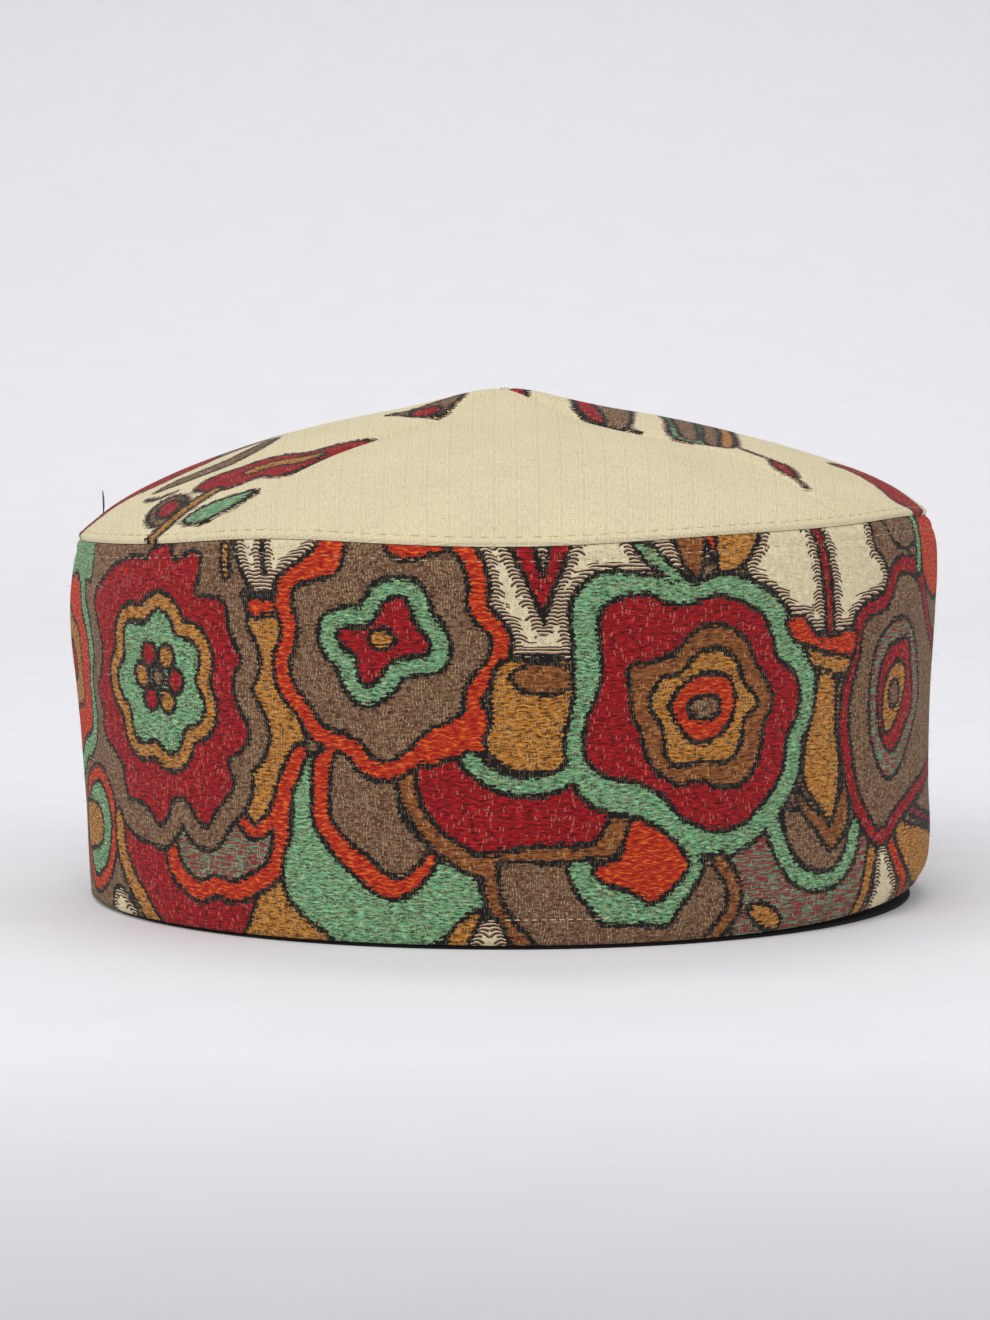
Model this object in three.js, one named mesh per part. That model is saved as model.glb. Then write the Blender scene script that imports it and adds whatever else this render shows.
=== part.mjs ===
// A round woven cap: a tall side band, a low crown of four wedge panels that meet in a small
// peak, and a dark cloth facing turned round the hem.
// Millimetres, +Z up. The front faces -Y, and an azimuth is counted from there towards +X.
// The origin is on the surface that the cap stands on, under the middle of the cap.

import * as THREE from "three";

// Driving dimensions
const BAND_WALL = 2.2; // woven cloth with its stiffening
const CROWN_WALL = 1.8;
const FACING_WALL = 1.2;
const SEAM_GAP = 0.3; // left between pieces that are sewn together
const HEM_RADIUS = 89.5; // where the cap stands
const LIP_HEIGHT = 0.8; // the facing's turn under the band
const FACING_HEIGHT = 24;
const FACING_BEND = 8.4; // height at which it stops leaning out from the hem
const SEAM_HEIGHT = 80.6; // of the crown seam, on average
const SEAM_TILT = 2.6; // how far that seam climbs from the middle to the right

// How finely the shapes are cut
const ROUND_STEPS = 88;
const PANEL_STEPS = 16;

// Outer radius of the band at each share of its height, on four sides
const bandSections = [
  { share: 0.0, front: 89.9, right: 90.9, back: 90.2, left: 91.2 },
  { share: 0.04, front: 90.4, right: 92.8, back: 90.6, left: 91.4 },
  { share: 0.12, front: 90.9, right: 93.8, back: 91.0, left: 91.6 },
  { share: 0.26, front: 91.4, right: 93.6, back: 91.5, left: 91.8 },
  { share: 0.42, front: 92.1, right: 93.6, back: 92.2, left: 92.8 },
  { share: 0.58, front: 92.9, right: 94.0, back: 93.0, left: 93.9 },
  { share: 0.74, front: 93.7, right: 95.0, back: 93.8, left: 95.1 },
  { share: 0.86, front: 94.2, right: 95.4, back: 94.2, left: 95.0 },
  { share: 0.93, front: 94.1, right: 95.0, back: 94.0, left: 94.2 },
  { share: 0.97, front: 93.7, right: 94.0, back: 93.6, left: 93.5 },
  { share: 1.0, front: 93.0, right: 92.6, back: 93.0, left: 92.8 },
];

// Upright creases pressed into the band, between two shares of its height
const CREASE_FADE = 0.2; // share of the height in which a crease comes and goes
const bandCreases = [
  { azimuth: -74, depth: 1.3, halfWidth: 8, low: 0.3, high: 1.05 },
  { azimuth: 77, depth: 0.9, halfWidth: 7, low: 0.6, high: 1.05 },
  { azimuth: 158, depth: 0.8, halfWidth: 12, low: 0.2, high: 1.0 },
];

// Long soft waves that keep the cloth from being a true circle
const WAVE_FADE = 0.3; // share of the height above the hem in which they begin
const bandWaves = [
  { lobes: 3, depth: 0.35, phase: 40 },
  { lobes: 5, depth: 0.22, phase: 110 },
];

// Where the crown seam wanders up or down, and where the band stands clear of the surface
const seamWanders = [
  { azimuth: -31, height: 1.5, halfWidth: 16 },
  { azimuth: 5, height: -1.0, halfWidth: 18 },
  { azimuth: 64, height: 0.9, halfWidth: 14 },
  { azimuth: 170, height: -0.8, halfWidth: 25 },
];
const hemLifts = [{ azimuth: 80, height: 2.9, halfWidth: 30 }];

// The crown from its rim to its peak: share of the radius, height above the seam in the middle
// of a panel, and how far the seams between panels lie below that
const crownSections = [
  { share: 1.0, rise: 0.0, leftSunk: 0.0, rightSunk: 0.0 },
  { share: 1.0, rise: 0.9, leftSunk: 0.0, rightSunk: 0.0 },
  { share: 0.992, rise: 1.8, leftSunk: 0.1, rightSunk: 0.0 },
  { share: 0.972, rise: 3.3, leftSunk: 0.5, rightSunk: 0.0 },
  { share: 0.935, rise: 5.9, leftSunk: 1.2, rightSunk: 0.1 },
  { share: 0.88, rise: 8.9, leftSunk: 2.0, rightSunk: 0.2 },
  { share: 0.8, rise: 12.3, leftSunk: 2.6, rightSunk: -0.2 },
  { share: 0.7, rise: 15.7, leftSunk: 2.7, rightSunk: 0.0 },
  { share: 0.59, rise: 18.9, leftSunk: 2.8, rightSunk: 1.0 },
  { share: 0.47, rise: 21.9, leftSunk: 3.2, rightSunk: 2.4 },
  { share: 0.35, rise: 24.3, leftSunk: 3.4, rightSunk: 3.2 },
  { share: 0.24, rise: 26.1, leftSunk: 2.8, rightSunk: 3.0 },
  { share: 0.15, rise: 27.9, leftSunk: 1.2, rightSunk: 2.1 },
  { share: 0.07, rise: 29.6, leftSunk: 0.5, rightSunk: 1.2 },
];
const PEAK_RISE = 30.4;
const TIP_RADIUS = 0.6;
const SEAM_PINCH = 0.5; // how far a seam pulls the cloth in beside itself
const PINCH_WIDTH = 1.6;
const PINCH_FADE = 0.06; // share of the radius, from the rim, in which the pinch begins
const SOFT_VALLEY = 2.4; // power that rounds a panel over between its seams
const LEAN_POWER = 3; // how soon the seam's ups and downs die out towards the peak
const WALL_TURN = 0.12; // share of the radius in which the wall turns from level to square
const TIP_TAPER = 12; // radius within which the wall leans less, so that the wedges don't meet

// The seams between the panels. bow is how far one swings sideways above the rim, in degrees.
const crownSeams = [
  { azimuth: -46, bow: 4.5 },
  { azimuth: 49, bow: -1.5 },
  { azimuth: 138, bow: 0 },
  { azimuth: 227, bow: 0 },
];
const BOW_SHARE = 0.08; // share of the radius in which a seam swings out

// The four wedge panels, each from its own seam to the next. plump is how far its middle fills out.
const panels = [
  { name: "crown_panel_front", plump: 0.55 },
  { name: "crown_panel_right", plump: 1.0 },
  { name: "crown_panel_back", plump: 0.8 },
  { name: "crown_panel_left", plump: 0.9 },
];

const clothCream = new THREE.MeshStandardMaterial({ color: 0xd9cfae, roughness: 0.92, metalness: 0 });
const clothWoven = new THREE.MeshStandardMaterial({ color: 0x8a5a3e, roughness: 0.92, metalness: 0 });
const clothBlack = new THREE.MeshStandardMaterial({ color: 0x14100f, roughness: 0.95, metalness: 0 });

const radians = THREE.MathUtils.degToRad;
const smooth = THREE.MathUtils.smoothstep;

// Degrees between two azimuths, the short way round
function azimuthBetween(a, b) {
  return ((((a - b) % 360) + 540) % 360) - 180;
}

// A bell of height 1 round an azimuth
function bell(azimuth, centre, halfWidth) {
  const off = azimuthBetween(azimuth, centre) / halfWidth;
  return Math.exp(-off * off);
}

function sumOfBells(table, azimuth) {
  return table.reduce((sum, row) => sum + row.height * bell(azimuth, row.azimuth, row.halfWidth), 0);
}

// A column of a table at a share between two of its rows
function between(table, column, share) {
  const last = table.length - 1;
  let i = 0;
  while (i < last - 1 && table[i + 1].share < share) i++;
  const [low, high] = [table[i], table[i + 1]];
  const t = THREE.MathUtils.clamp((share - low.share) / (high.share - low.share), 0, 1);
  return THREE.MathUtils.lerp(low[column], high[column], t);
}

// The four sides' values blended round the cap
function bySide(row, azimuth) {
  const [s, c] = [Math.sin(radians(azimuth)), Math.cos(radians(azimuth))];
  return (c > 0 ? row.front : row.back) * c * c + (s > 0 ? row.right : row.left) * s * s;
}

function place(azimuth, radius, z) {
  return new THREE.Vector3(radius * Math.sin(radians(azimuth)), -radius * Math.cos(radians(azimuth)), z);
}

function seamHeight(azimuth) {
  return SEAM_HEIGHT + SEAM_TILT * Math.sin(radians(azimuth)) + sumOfBells(seamWanders, azimuth);
}

function bandFoot(azimuth) {
  return LIP_HEIGHT + SEAM_GAP + sumOfBells(hemLifts, azimuth);
}

function bandWaviness(azimuth, share) {
  const waves = bandWaves.reduce(
    (sum, row) => sum + row.depth * Math.sin(radians(row.lobes * azimuth + row.phase)), 0);
  const creases = bandCreases.reduce((sum, row) => {
    const comes = smooth(share, row.low, row.low + CREASE_FADE);
    const goes = smooth(share, row.high - CREASE_FADE, row.high);
    return sum + row.depth * bell(azimuth, row.azimuth, row.halfWidth) * comes * (1 - goes);
  }, 0);
  return waves * smooth(share, 0, WAVE_FADE) - creases;
}

function bandRadius(azimuth, share) {
  const sides = {};
  for (const side of ["front", "right", "back", "left"]) sides[side] = between(bandSections, side, share);
  return bySide(sides, azimuth) + bandWaviness(azimuth, share);
}

function bandHeight(azimuth, share) {
  return THREE.MathUtils.lerp(bandFoot(azimuth), seamHeight(azimuth) - SEAM_GAP / 2, share);
}

function seamAzimuth(index, share) {
  const seam = crownSeams[index % crownSeams.length];
  const turns = Math.floor(index / crownSeams.length);
  return seam.azimuth + 360 * turns + seam.bow * smooth(1 - share, 0, BOW_SHARE);
}

// The azimuth between a panel's two seams. across runs from -1 on the one to 1 on the other.
function panelAzimuth(index, across, share) {
  return THREE.MathUtils.lerp(seamAzimuth(index, share), seamAzimuth(index + 1, share), (1 + across) / 2);
}

// A point of the crown's outer face
function crownPoint(index, across, row) {
  const seamLine = panelAzimuth(index, across, row.share);
  const halfWedge = (seamAzimuth(index + 1, row.share) - seamAzimuth(index, row.share)) / 2;
  const radius = bandRadius(seamLine, 1) * row.share;
  const inset = THREE.MathUtils.radToDeg(Math.asin(SEAM_GAP / 2 / radius));
  const azimuth = seamLine - across * inset;
  const towardsRight = (1 + Math.sin(radians(azimuth))) / 2;
  const sunk = THREE.MathUtils.lerp(row.leftSunk, row.rightSunk, towardsRight);
  const valley = Math.abs(across) ** SOFT_VALLEY;
  const slack = sunk * (valley + (1 - valley) * (1 - panels[index].plump));
  const fromSeam = (1 - Math.abs(across)) * radians(halfWedge) * radius;
  const pinched = smooth(1 - row.share, 0, PINCH_FADE);
  const pinch = SEAM_PINCH * Math.exp(-((fromSeam / PINCH_WIDTH) ** 2)) * pinched;
  const lean = seamHeight(azimuth) - SEAM_HEIGHT;
  const z = SEAM_HEIGHT + SEAM_GAP / 2 + lean * row.share ** LEAN_POWER + row.rise - slack - pinch;
  return { azimuth, radius, z };
}

// The way into the cloth at a row, across the wall, in the plane through the axis
function inward(profile, i) {
  const [before, after] = [profile[Math.max(i - 1, 0)], profile[Math.min(i + 1, profile.length - 1)]];
  const [run, rise] = [after.radius - before.radius, after.z - before.z];
  const length = Math.hypot(run, rise);
  return { radius: -rise / length, z: run / length };
}

// One closed solid between an outer and an inner grid of points. Rows run upwards and columns by
// azimuth. A ring wraps round, and a wedge ends in a tip: one point outside and one inside.
function shellGeometry(outer, inner, { wraps = false, tip = null } = {}) {
  const points = [...outer.flat(), ...inner.flat(), ...(tip ?? [])];
  const [rows, columns] = [outer.length, outer[0].length];
  const out = (r, c) => r * columns + (c % columns);
  const inn = (r, c) => rows * columns + out(r, c);
  const [tipOut, tipIn] = [2 * rows * columns, 2 * rows * columns + 1];
  const faces = [];
  const quad = (a, b, c, d) => faces.push(a, b, c, a, c, d);
  const spans = wraps ? columns : columns - 1;
  for (let c = 0; c < spans; c++) {
    for (let r = 0; r < rows - 1; r++) {
      quad(out(r, c), out(r, c + 1), out(r + 1, c + 1), out(r + 1, c));
      quad(inn(r, c), inn(r + 1, c), inn(r + 1, c + 1), inn(r, c + 1));
    }
    quad(out(0, c), inn(0, c), inn(0, c + 1), out(0, c + 1));
    if (tip) {
      faces.push(out(rows - 1, c), out(rows - 1, c + 1), tipOut);
      faces.push(inn(rows - 1, c), tipIn, inn(rows - 1, c + 1));
    } else {
      quad(out(rows - 1, c), out(rows - 1, c + 1), inn(rows - 1, c + 1), inn(rows - 1, c));
    }
  }
  if (!wraps) {
    const end = columns - 1;
    for (let r = 0; r < rows - 1; r++) {
      quad(out(r, 0), out(r + 1, 0), inn(r + 1, 0), inn(r, 0));
      quad(out(r, end), inn(r, end), inn(r + 1, end), out(r + 1, end));
    }
    if (tip) {
      quad(out(rows - 1, 0), tipOut, tipIn, inn(rows - 1, 0));
      quad(out(rows - 1, end), inn(rows - 1, end), tipIn, tipOut);
    }
  }
  const geometry = new THREE.BufferGeometry().setFromPoints(points);
  geometry.setIndex(faces);
  geometry.computeVertexNormals();
  return geometry;
}

// A closed ring from a section of {radius, z} points that runs anticlockwise with +Z up
function ringGeometry(sectionAt) {
  const columns = roundAzimuths().map((azimuth) =>
    sectionAt(azimuth).map((point) => place(azimuth, point.radius, point.z)));
  const count = columns[0].length;
  const faces = [];
  columns.forEach((_, c) => {
    const [here, next] = [c * count, ((c + 1) % columns.length) * count];
    for (let i = 0; i < count; i++) {
      const j = (i + 1) % count;
      faces.push(here + i, next + i, next + j, here + i, next + j, here + j);
    }
  });
  const geometry = new THREE.BufferGeometry().setFromPoints(columns.flat());
  geometry.setIndex(faces);
  geometry.computeVertexNormals();
  return geometry;
}

function roundAzimuths() {
  return Array.from({ length: ROUND_STEPS }, (_, i) => (360 * i) / ROUND_STEPS);
}

function named(name, geometry, material) {
  const mesh = new THREE.Mesh(geometry, material);
  mesh.name = name;
  return mesh;
}

function bandGeometry() {
  const grid = (inset) =>
    bandSections.map(({ share }) =>
      roundAzimuths().map((azimuth) =>
        place(azimuth, bandRadius(azimuth, share) - inset, bandHeight(azimuth, share))));
  return shellGeometry(grid(0), grid(BAND_WALL), { wraps: true });
}

function panelGeometry(index) {
  const [outer, inner] = [crownSections.map(() => []), crownSections.map(() => [])];
  for (let c = 0; c <= PANEL_STEPS; c++) {
    const across = Math.sin((Math.PI / 2) * ((2 * c) / PANEL_STEPS - 1)); // finer beside the seams
    const profile = crownSections.map((row) => crownPoint(index, across, row));
    profile.forEach(({ azimuth, radius, z }, r) => {
      const way = inward(profile, r);
      const upright = smooth(1 - crownSections[r].share, 0, WALL_TURN);
      const wallRun = THREE.MathUtils.lerp(-1, way.radius, upright) * Math.min(1, radius / TIP_TAPER);
      const wallDrop = THREE.MathUtils.lerp(0, way.z, upright);
      outer[r].push(place(azimuth, radius, z));
      inner[r].push(place(azimuth, radius + wallRun * CROWN_WALL, z + wallDrop * CROWN_WALL));
    });
  }
  const middle = panelAzimuth(index, 0, 0);
  const peak = SEAM_HEIGHT + SEAM_GAP / 2 + PEAK_RISE;
  const tip = [place(middle, TIP_RADIUS, peak), place(middle, TIP_RADIUS, peak - CROWN_WALL)];
  return shellGeometry(outer, inner, { tip });
}

// The facing stands inside the band and turns outwards under its edge as a thin lip
function facingSection(azimuth) {
  const besideBand = (z) => {
    const share = (z - bandFoot(azimuth)) / (seamHeight(azimuth) - bandFoot(azimuth));
    return bandRadius(azimuth, share) - BAND_WALL - SEAM_GAP;
  };
  const foot = HEM_RADIUS - BAND_WALL - SEAM_GAP;
  const outside = [
    { radius: foot, z: LIP_HEIGHT },
    { radius: besideBand(FACING_BEND), z: FACING_BEND },
    { radius: besideBand(FACING_HEIGHT), z: FACING_HEIGHT },
  ];
  const inside = outside.map(({ radius, z }) => ({ radius: radius - FACING_WALL, z })).reverse();
  inside[inside.length - 1].z = 0;
  return [{ radius: HEM_RADIUS, z: 0 }, { radius: HEM_RADIUS, z: LIP_HEIGHT }, ...outside, ...inside];
}

const cap = new THREE.Group();
cap.add(named("band", bandGeometry(), clothWoven));
cap.add(named("hem_facing", ringGeometry(facingSection), clothBlack));
panels.forEach(({ name }, index) => cap.add(named(name, panelGeometry(index), clothCream)));

// The outline is a little uneven, so the group is shifted to stand centred on the origin
const bounds = new THREE.Box3().setFromObject(cap, true);
const middle = bounds.getCenter(new THREE.Vector3());
cap.position.set(-middle.x, -middle.y, -bounds.min.z);

export default cap;
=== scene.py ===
"""The looks of a round woven cap: a tall band with a kani flower weave, four cream crown panels
and a black facing inside the hem, standing on a pale floor.

Sizes are in millimetres, as the cap was cut, and become metres where a mesh is made.
An azimuth is in degrees from the front, positive towards +X.
"""

import math

import bpy
import numpy as np
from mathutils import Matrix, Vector


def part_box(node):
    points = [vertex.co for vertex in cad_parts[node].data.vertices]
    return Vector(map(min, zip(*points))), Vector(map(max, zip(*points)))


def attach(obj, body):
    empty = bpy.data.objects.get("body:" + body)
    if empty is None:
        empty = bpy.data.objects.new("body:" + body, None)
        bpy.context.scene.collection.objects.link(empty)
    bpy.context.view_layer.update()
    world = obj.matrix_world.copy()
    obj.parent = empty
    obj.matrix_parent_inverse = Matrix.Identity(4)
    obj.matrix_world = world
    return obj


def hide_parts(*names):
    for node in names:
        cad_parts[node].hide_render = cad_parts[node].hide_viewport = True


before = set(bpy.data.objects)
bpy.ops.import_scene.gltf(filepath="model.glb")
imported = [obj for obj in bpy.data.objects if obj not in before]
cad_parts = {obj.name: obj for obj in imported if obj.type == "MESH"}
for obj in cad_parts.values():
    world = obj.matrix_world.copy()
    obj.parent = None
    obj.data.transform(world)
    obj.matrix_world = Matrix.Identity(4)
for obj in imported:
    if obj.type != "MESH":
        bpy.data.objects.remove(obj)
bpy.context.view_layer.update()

MM = 0.001
TINY = 1e-9

# Driving dimensions of the cap
BAND_WALL = 2.2
CROWN_WALL = 1.8
FACING_WALL = 1.2
SEAM_GAP = 0.3
SHOWN_GAP = 0.1  # what is left of a seam's gap once the cloth is pulled together
HEM_RADIUS = 89.5
LIP_HEIGHT = 0.8
LIP_BEVEL = (0.3, 0.25)  # inwards and upwards
FACING_TURN = 0.4  # size of the corner where the facing turns up from its lip
FACING_FOOT = 4.2  # height from which the facing follows the band
FACING_HEIGHT = 24
SEAM_HEIGHT = 80.6
SEAM_TILT = 2.6
CLOTH_RADIUS = 93  # turns azimuths into lengths along the band
PEAK_RISE = 30.4
TIP_RADIUS = 0.6
SEAM_PINCH = 0.6  # depth of the pinched seams between the crown panels
PINCH_WIDTH = 1.1
PINCH_START = 6  # length from the rim over which the pinch sets in
SOFT_VALLEY = 2.4  # how narrow the valleys beside the panel seams are
BOW_SHARE = 0.08  # share of the radius over which the panel seams bow out
CREASE_FADE = 0.2  # share of the band's height over which a crease fades
WAVE_FADE = 0.3  # share of it over which the waves set in

# Outer radius of the band at each share of its height, on four sides
BAND_SECTIONS = {
    "share": [0, 0.04, 0.12, 0.26, 0.42, 0.58, 0.74, 0.86, 0.93, 0.97, 1],
    "front": [89.9, 90.4, 90.9, 91.4, 92.1, 92.9, 93.7, 94.2, 94.1, 93.7, 93.0],
    "right": [90.9, 92.8, 93.8, 93.6, 93.6, 94.0, 95.0, 95.4, 95.0, 94.0, 92.6],
    "back": [90.2, 90.6, 91.0, 91.5, 92.2, 93.0, 93.8, 94.2, 94.0, 93.6, 93.0],
    "left": [91.2, 91.4, 91.6, 91.8, 92.8, 93.9, 95.1, 95.0, 94.2, 93.5, 92.8],
}
# azimuth, depth, half width, and the shares of the height between which each crease shows
BAND_CREASES = [(-74, 1.3, 8, 0.3, 1.05), (77, 0.9, 7, 0.6, 1.05), (158, 0.8, 12, 0.2, 1.0)]
# lobes, depth, phase
BAND_WAVES = [(3, 0.35, 40), (5, 0.22, 110)]
# azimuth, height, half width
SEAM_WANDERS = [(-31, 1.5, 16), (5, -1.0, 18), (64, 0.9, 14), (170, -0.8, 25)]
HEM_LIFTS = [(80, 2.9, 30)]
# The crown from its rim to its peak
CROWN_SECTIONS = {
    "share": [1, 1, 0.992, 0.972, 0.935, 0.88, 0.8, 0.7, 0.59, 0.47, 0.35, 0.24, 0.15, 0.07, 0],
    "rise": [0, 0.9, 1.8, 3.3, 5.9, 8.9, 12.3, 15.7, 18.9, 21.9, 24.3, 26.1, 27.9, 29.6, PEAK_RISE],
    "left_sunk": [0, 0, 0.1, 0.5, 1.2, 2.0, 2.6, 2.7, 2.8, 3.2, 3.4, 2.8, 1.2, 0.5, 0],
    "right_sunk": [0, 0, 0, 0, 0.1, 0.2, -0.2, 0, 1.0, 2.4, 3.2, 3.0, 2.1, 1.2, 0],
}
# The azimuth of each seam between the crown's panels, and how far it bows out above the rim
CROWN_SEAMS = [(-46, 4.5), (49, -1.5), (138, 0), (227, 0)]
# How far the middle of each panel fills out, in the order of their first seams
CROWN_PANELS = {"front": 0.55, "right": 1.0, "back": 0.8, "left": 0.9}


def find_shift():
    """How far the cap was shifted to stand centred: the lip under the hem is a true circle."""
    low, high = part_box("hem_facing")
    return np.array([low.x / MM + HEM_RADIUS, (low.y + high.y) / 2 / MM, 0])


SHIFT = find_shift()


# Camera and light

CAMERA_PLACE = (-2.1, -794, 109)
CAMERA_PITCH = 4.19  # degrees down
LENS = 98.18
SENSOR = 36
FAR_END = 20  # metres that the camera sees
CAP_MIDDLE = (0, 0, 0.05)
WALL_MIDDLE = (0, 1.6, 0.5)
# Each lamp's place and target in metres, its width and its power
LAMPS = {
    "key": ((-0.4, -1.4, 1.5), CAP_MIDDLE, 1.8, 18.7),
    "fill_left": ((-1.2, -0.6, 0.6), CAP_MIDDLE, 1.2, 5),
    "fill_right": ((1.2, -0.5, 0.7), CAP_MIDDLE, 1.2, 5),
    "wall_wash": ((0, 0.6, 1.6), WALL_MIDDLE, 1.0, 8),
}
SKY_STRENGTH = 0.56


def add_object(name, data):
    added = bpy.data.objects.new(name, data)
    bpy.context.scene.collection.objects.link(added)
    return added


def make_camera():
    camera = add_object("camera", bpy.data.cameras.new("camera"))
    camera.location = (np.array(CAMERA_PLACE) + SHIFT) * MM
    camera.rotation_euler = (math.radians(90 - CAMERA_PITCH), 0, 0)
    camera.data.lens = LENS
    camera.data.sensor_width = SENSOR
    camera.data.clip_end = FAR_END
    bpy.context.scene.camera = camera


def make_light(name, place, target, size, power):
    """A round lamp that faces a target."""
    lamp = bpy.data.lights.new(name, "AREA")
    lamp.shape = "DISK"
    lamp.size = size
    lamp.energy = power
    light = add_object(name, lamp)
    light.location = place
    light.rotation_euler = (Vector(place) - Vector(target)).to_track_quat("Z", "Y").to_euler()


def make_world(colour, strength):
    world = bpy.data.worlds.new("studio")
    world.use_nodes = True
    world.node_tree.nodes["Background"].inputs["Color"].default_value = (*colour, 1)
    world.node_tree.nodes["Background"].inputs["Strength"].default_value = strength
    bpy.context.scene.world = world


# Node materials

def linear(red, green, blue):
    """A display colour, 0 to 255, as the linear colour that a shader takes, by the sRGB curve."""
    shares = [value / 255 for value in (red, green, blue)]
    return tuple(((s + 0.055) / 1.055) ** 2.4 if s > 0.04 else s / 12.92 for s in shares)


CLOTH_ROUGHNESS = 0.92
CLOTH_GLOSS = 0.12
CLOTH_SHEEN = 0.04
SHEEN_ROUGHNESS = 0.6
WANDER_GRAIN = (0.2, 0.2)
WANDER = 4  # how far columns of dashes wander, in their own widths
DASH_SIDES = (0.24, 0.12)  # how far from its middle a dash fades in, as shares of its place
DASH_ENDS = (0.42, 0.3)


class Nodes:
    """Builds one material, a node at a time. Inputs are numbers, colours or sockets."""

    def __init__(self, name):
        self.material = bpy.data.materials.new(name)
        self.material.use_nodes = True
        self.tree = self.material.node_tree
        self.tree.nodes.clear()

    def set_input(self, socket, value):
        if isinstance(value, bpy.types.NodeSocket):
            self.tree.links.new(value, socket)
        elif socket.type == "RGBA":
            socket.default_value = (*value, 1)
        else:
            socket.default_value = value

    def add(self, kind, inputs=None, **settings):
        node = self.tree.nodes.new(kind)
        for key, value in settings.items():
            setattr(node, key, value)
        for key, value in (inputs or {}).items():
            self.set_input(node.inputs[key], value)
        return node

    def math(self, operation, *values):
        return self.add("ShaderNodeMath", dict(enumerate(values)), operation=operation).outputs[0]

    def plus(self, a, b):
        return self.math("ADD", a, b)

    def times(self, a, b):
        return self.math("MULTIPLY", a, b)

    def ramp(self, value, low, high, start=0.0, end=1.0):
        """start below low, end above high, and an even change between."""
        inputs = {"Value": value, "From Min": low, "From Max": high, "To Min": start, "To Max": end}
        return self.add("ShaderNodeMapRange", inputs, clamp=True).outputs["Result"]

    def off_middle(self, value):
        """How far a number is from the middle between two whole ones."""
        return self.math("ABSOLUTE", self.math("SUBTRACT", self.math("FRACT", value), 0.5))

    def mix(self, share, a, b):
        node = self.add("ShaderNodeMix", {"Factor": share}, data_type="RGBA")
        for key, value in (("A", a), ("B", b)):
            self.set_input(next(s for s in node.inputs if s.name == key and s.type == "RGBA"), value)
        return next(s for s in node.outputs if s.type == "RGBA")

    def shade(self, colour, tone):
        return self.add("ShaderNodeVectorMath", {0: colour, "Scale": tone}, operation="SCALE").outputs[0]

    def vector(self, x, y, z=0.0):
        return self.add("ShaderNodeCombineXYZ", {0: x, 1: y, 2: z}).outputs[0]

    def parts(self, vector):
        return self.add("ShaderNodeSeparateXYZ", {0: vector}).outputs

    def attribute(self, name):
        return self.add("ShaderNodeAttribute", attribute_name=name).outputs

    def cloth_place(self):
        """Lengths along and up the flat cloth, in millimetres."""
        along, up, _ = self.parts(self.attribute("cloth")["Vector"])
        return along, up

    def object_place(self):
        """The place in the object's own frame, in metres."""
        return self.parts(self.add("ShaderNodeTexCoord").outputs["Object"])

    def noise(self, x, y, grain, detail=2.0, shift=0.0):
        """Smooth noise from 0 to 1. grain is how quickly it changes along each coordinate."""
        vector = self.vector(self.times(x, grain[0]), self.plus(self.times(y, grain[1]), shift))
        inputs = {"Vector": vector, "Scale": 1.0, "Detail": detail}
        return self.add("ShaderNodeTexNoise", inputs).outputs["Fac"]

    def chance(self, x, y, seed):
        """An even random number for each whole place."""
        vector = self.vector(x, y, float(seed))
        return self.add("ShaderNodeTexWhiteNoise", {"Vector": vector}, noise_dimensions="3D").outputs["Value"]

    def dashes(self, u, v, wide, high, share, seed):
        """Upright dashes scattered in columns. share is how many of the places have one."""
        wander = self.times(self.noise(u, v, WANDER_GRAIN, detail=0), WANDER * wide)
        columns = self.math("DIVIDE", self.plus(u, wander), wide)
        column = self.math("FLOOR", columns)
        rows = self.plus(self.math("DIVIDE", v, high), self.chance(column, 0.0, seed))
        luck = self.chance(column, self.math("FLOOR", rows), seed)
        thin = self.ramp(self.off_middle(columns), *DASH_SIDES)
        ends = self.ramp(self.off_middle(rows), *DASH_ENDS)
        return self.times(self.times(thin, ends), self.math("LESS_THAN", luck, share))

    def cloth(self, colour, height, depth, sheen=CLOTH_SHEEN):
        """Closes the material as matt cloth. depth is how deep its relief is, in millimetres."""
        bump = self.add("ShaderNodeBump", {"Height": height, "Distance": depth * MM, "Strength": 1.0})
        inputs = {"Base Color": colour, "Roughness": CLOTH_ROUGHNESS, "Normal": bump.outputs[0],
                  "Sheen Weight": sheen, "Sheen Roughness": SHEEN_ROUGHNESS,
                  "Specular IOR Level": CLOTH_GLOSS}
        return self.close(inputs)

    def close(self, inputs):
        shader = self.add("ShaderNodeBsdfPrincipled", inputs)
        self.add("ShaderNodeOutputMaterial", {"Surface": shader.outputs[0]})
        return self.material


# Yarn colours: the main one, its bright and its dull strands, and the upright stitches that cross it
YARNS = {
    "cream": (linear(220, 207, 170), linear(229, 217, 183), linear(206, 192, 152), None),
    "red": (linear(146, 17, 25), linear(174, 36, 38), linear(90, 13, 19), linear(200, 116, 98)),
    "orange": (linear(180, 46, 22), linear(216, 104, 40), linear(146, 22, 22), None),
    "ochre": (linear(172, 110, 42), linear(202, 142, 66), linear(98, 64, 30), linear(206, 176, 122)),
    "tan": (linear(130, 77, 39), linear(162, 106, 58), linear(86, 49, 28), linear(188, 150, 106)),
    "taupe": (linear(110, 82, 59), linear(136, 108, 79), linear(108, 58, 43), linear(196, 168, 134)),
    "green": (linear(106, 156, 112), linear(146, 194, 148), linear(78, 108, 76), linear(188, 168, 126)),
    "mottled": (linear(112, 92, 76), linear(108, 140, 108), linear(146, 44, 50), linear(186, 162, 136)),
}
BLACK = linear(26, 24, 22)
THREADS_OVER_BLACK = linear(112, 98, 82)
MAROON = linear(134, 68, 60)
FLECK = linear(54, 40, 30)

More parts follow.
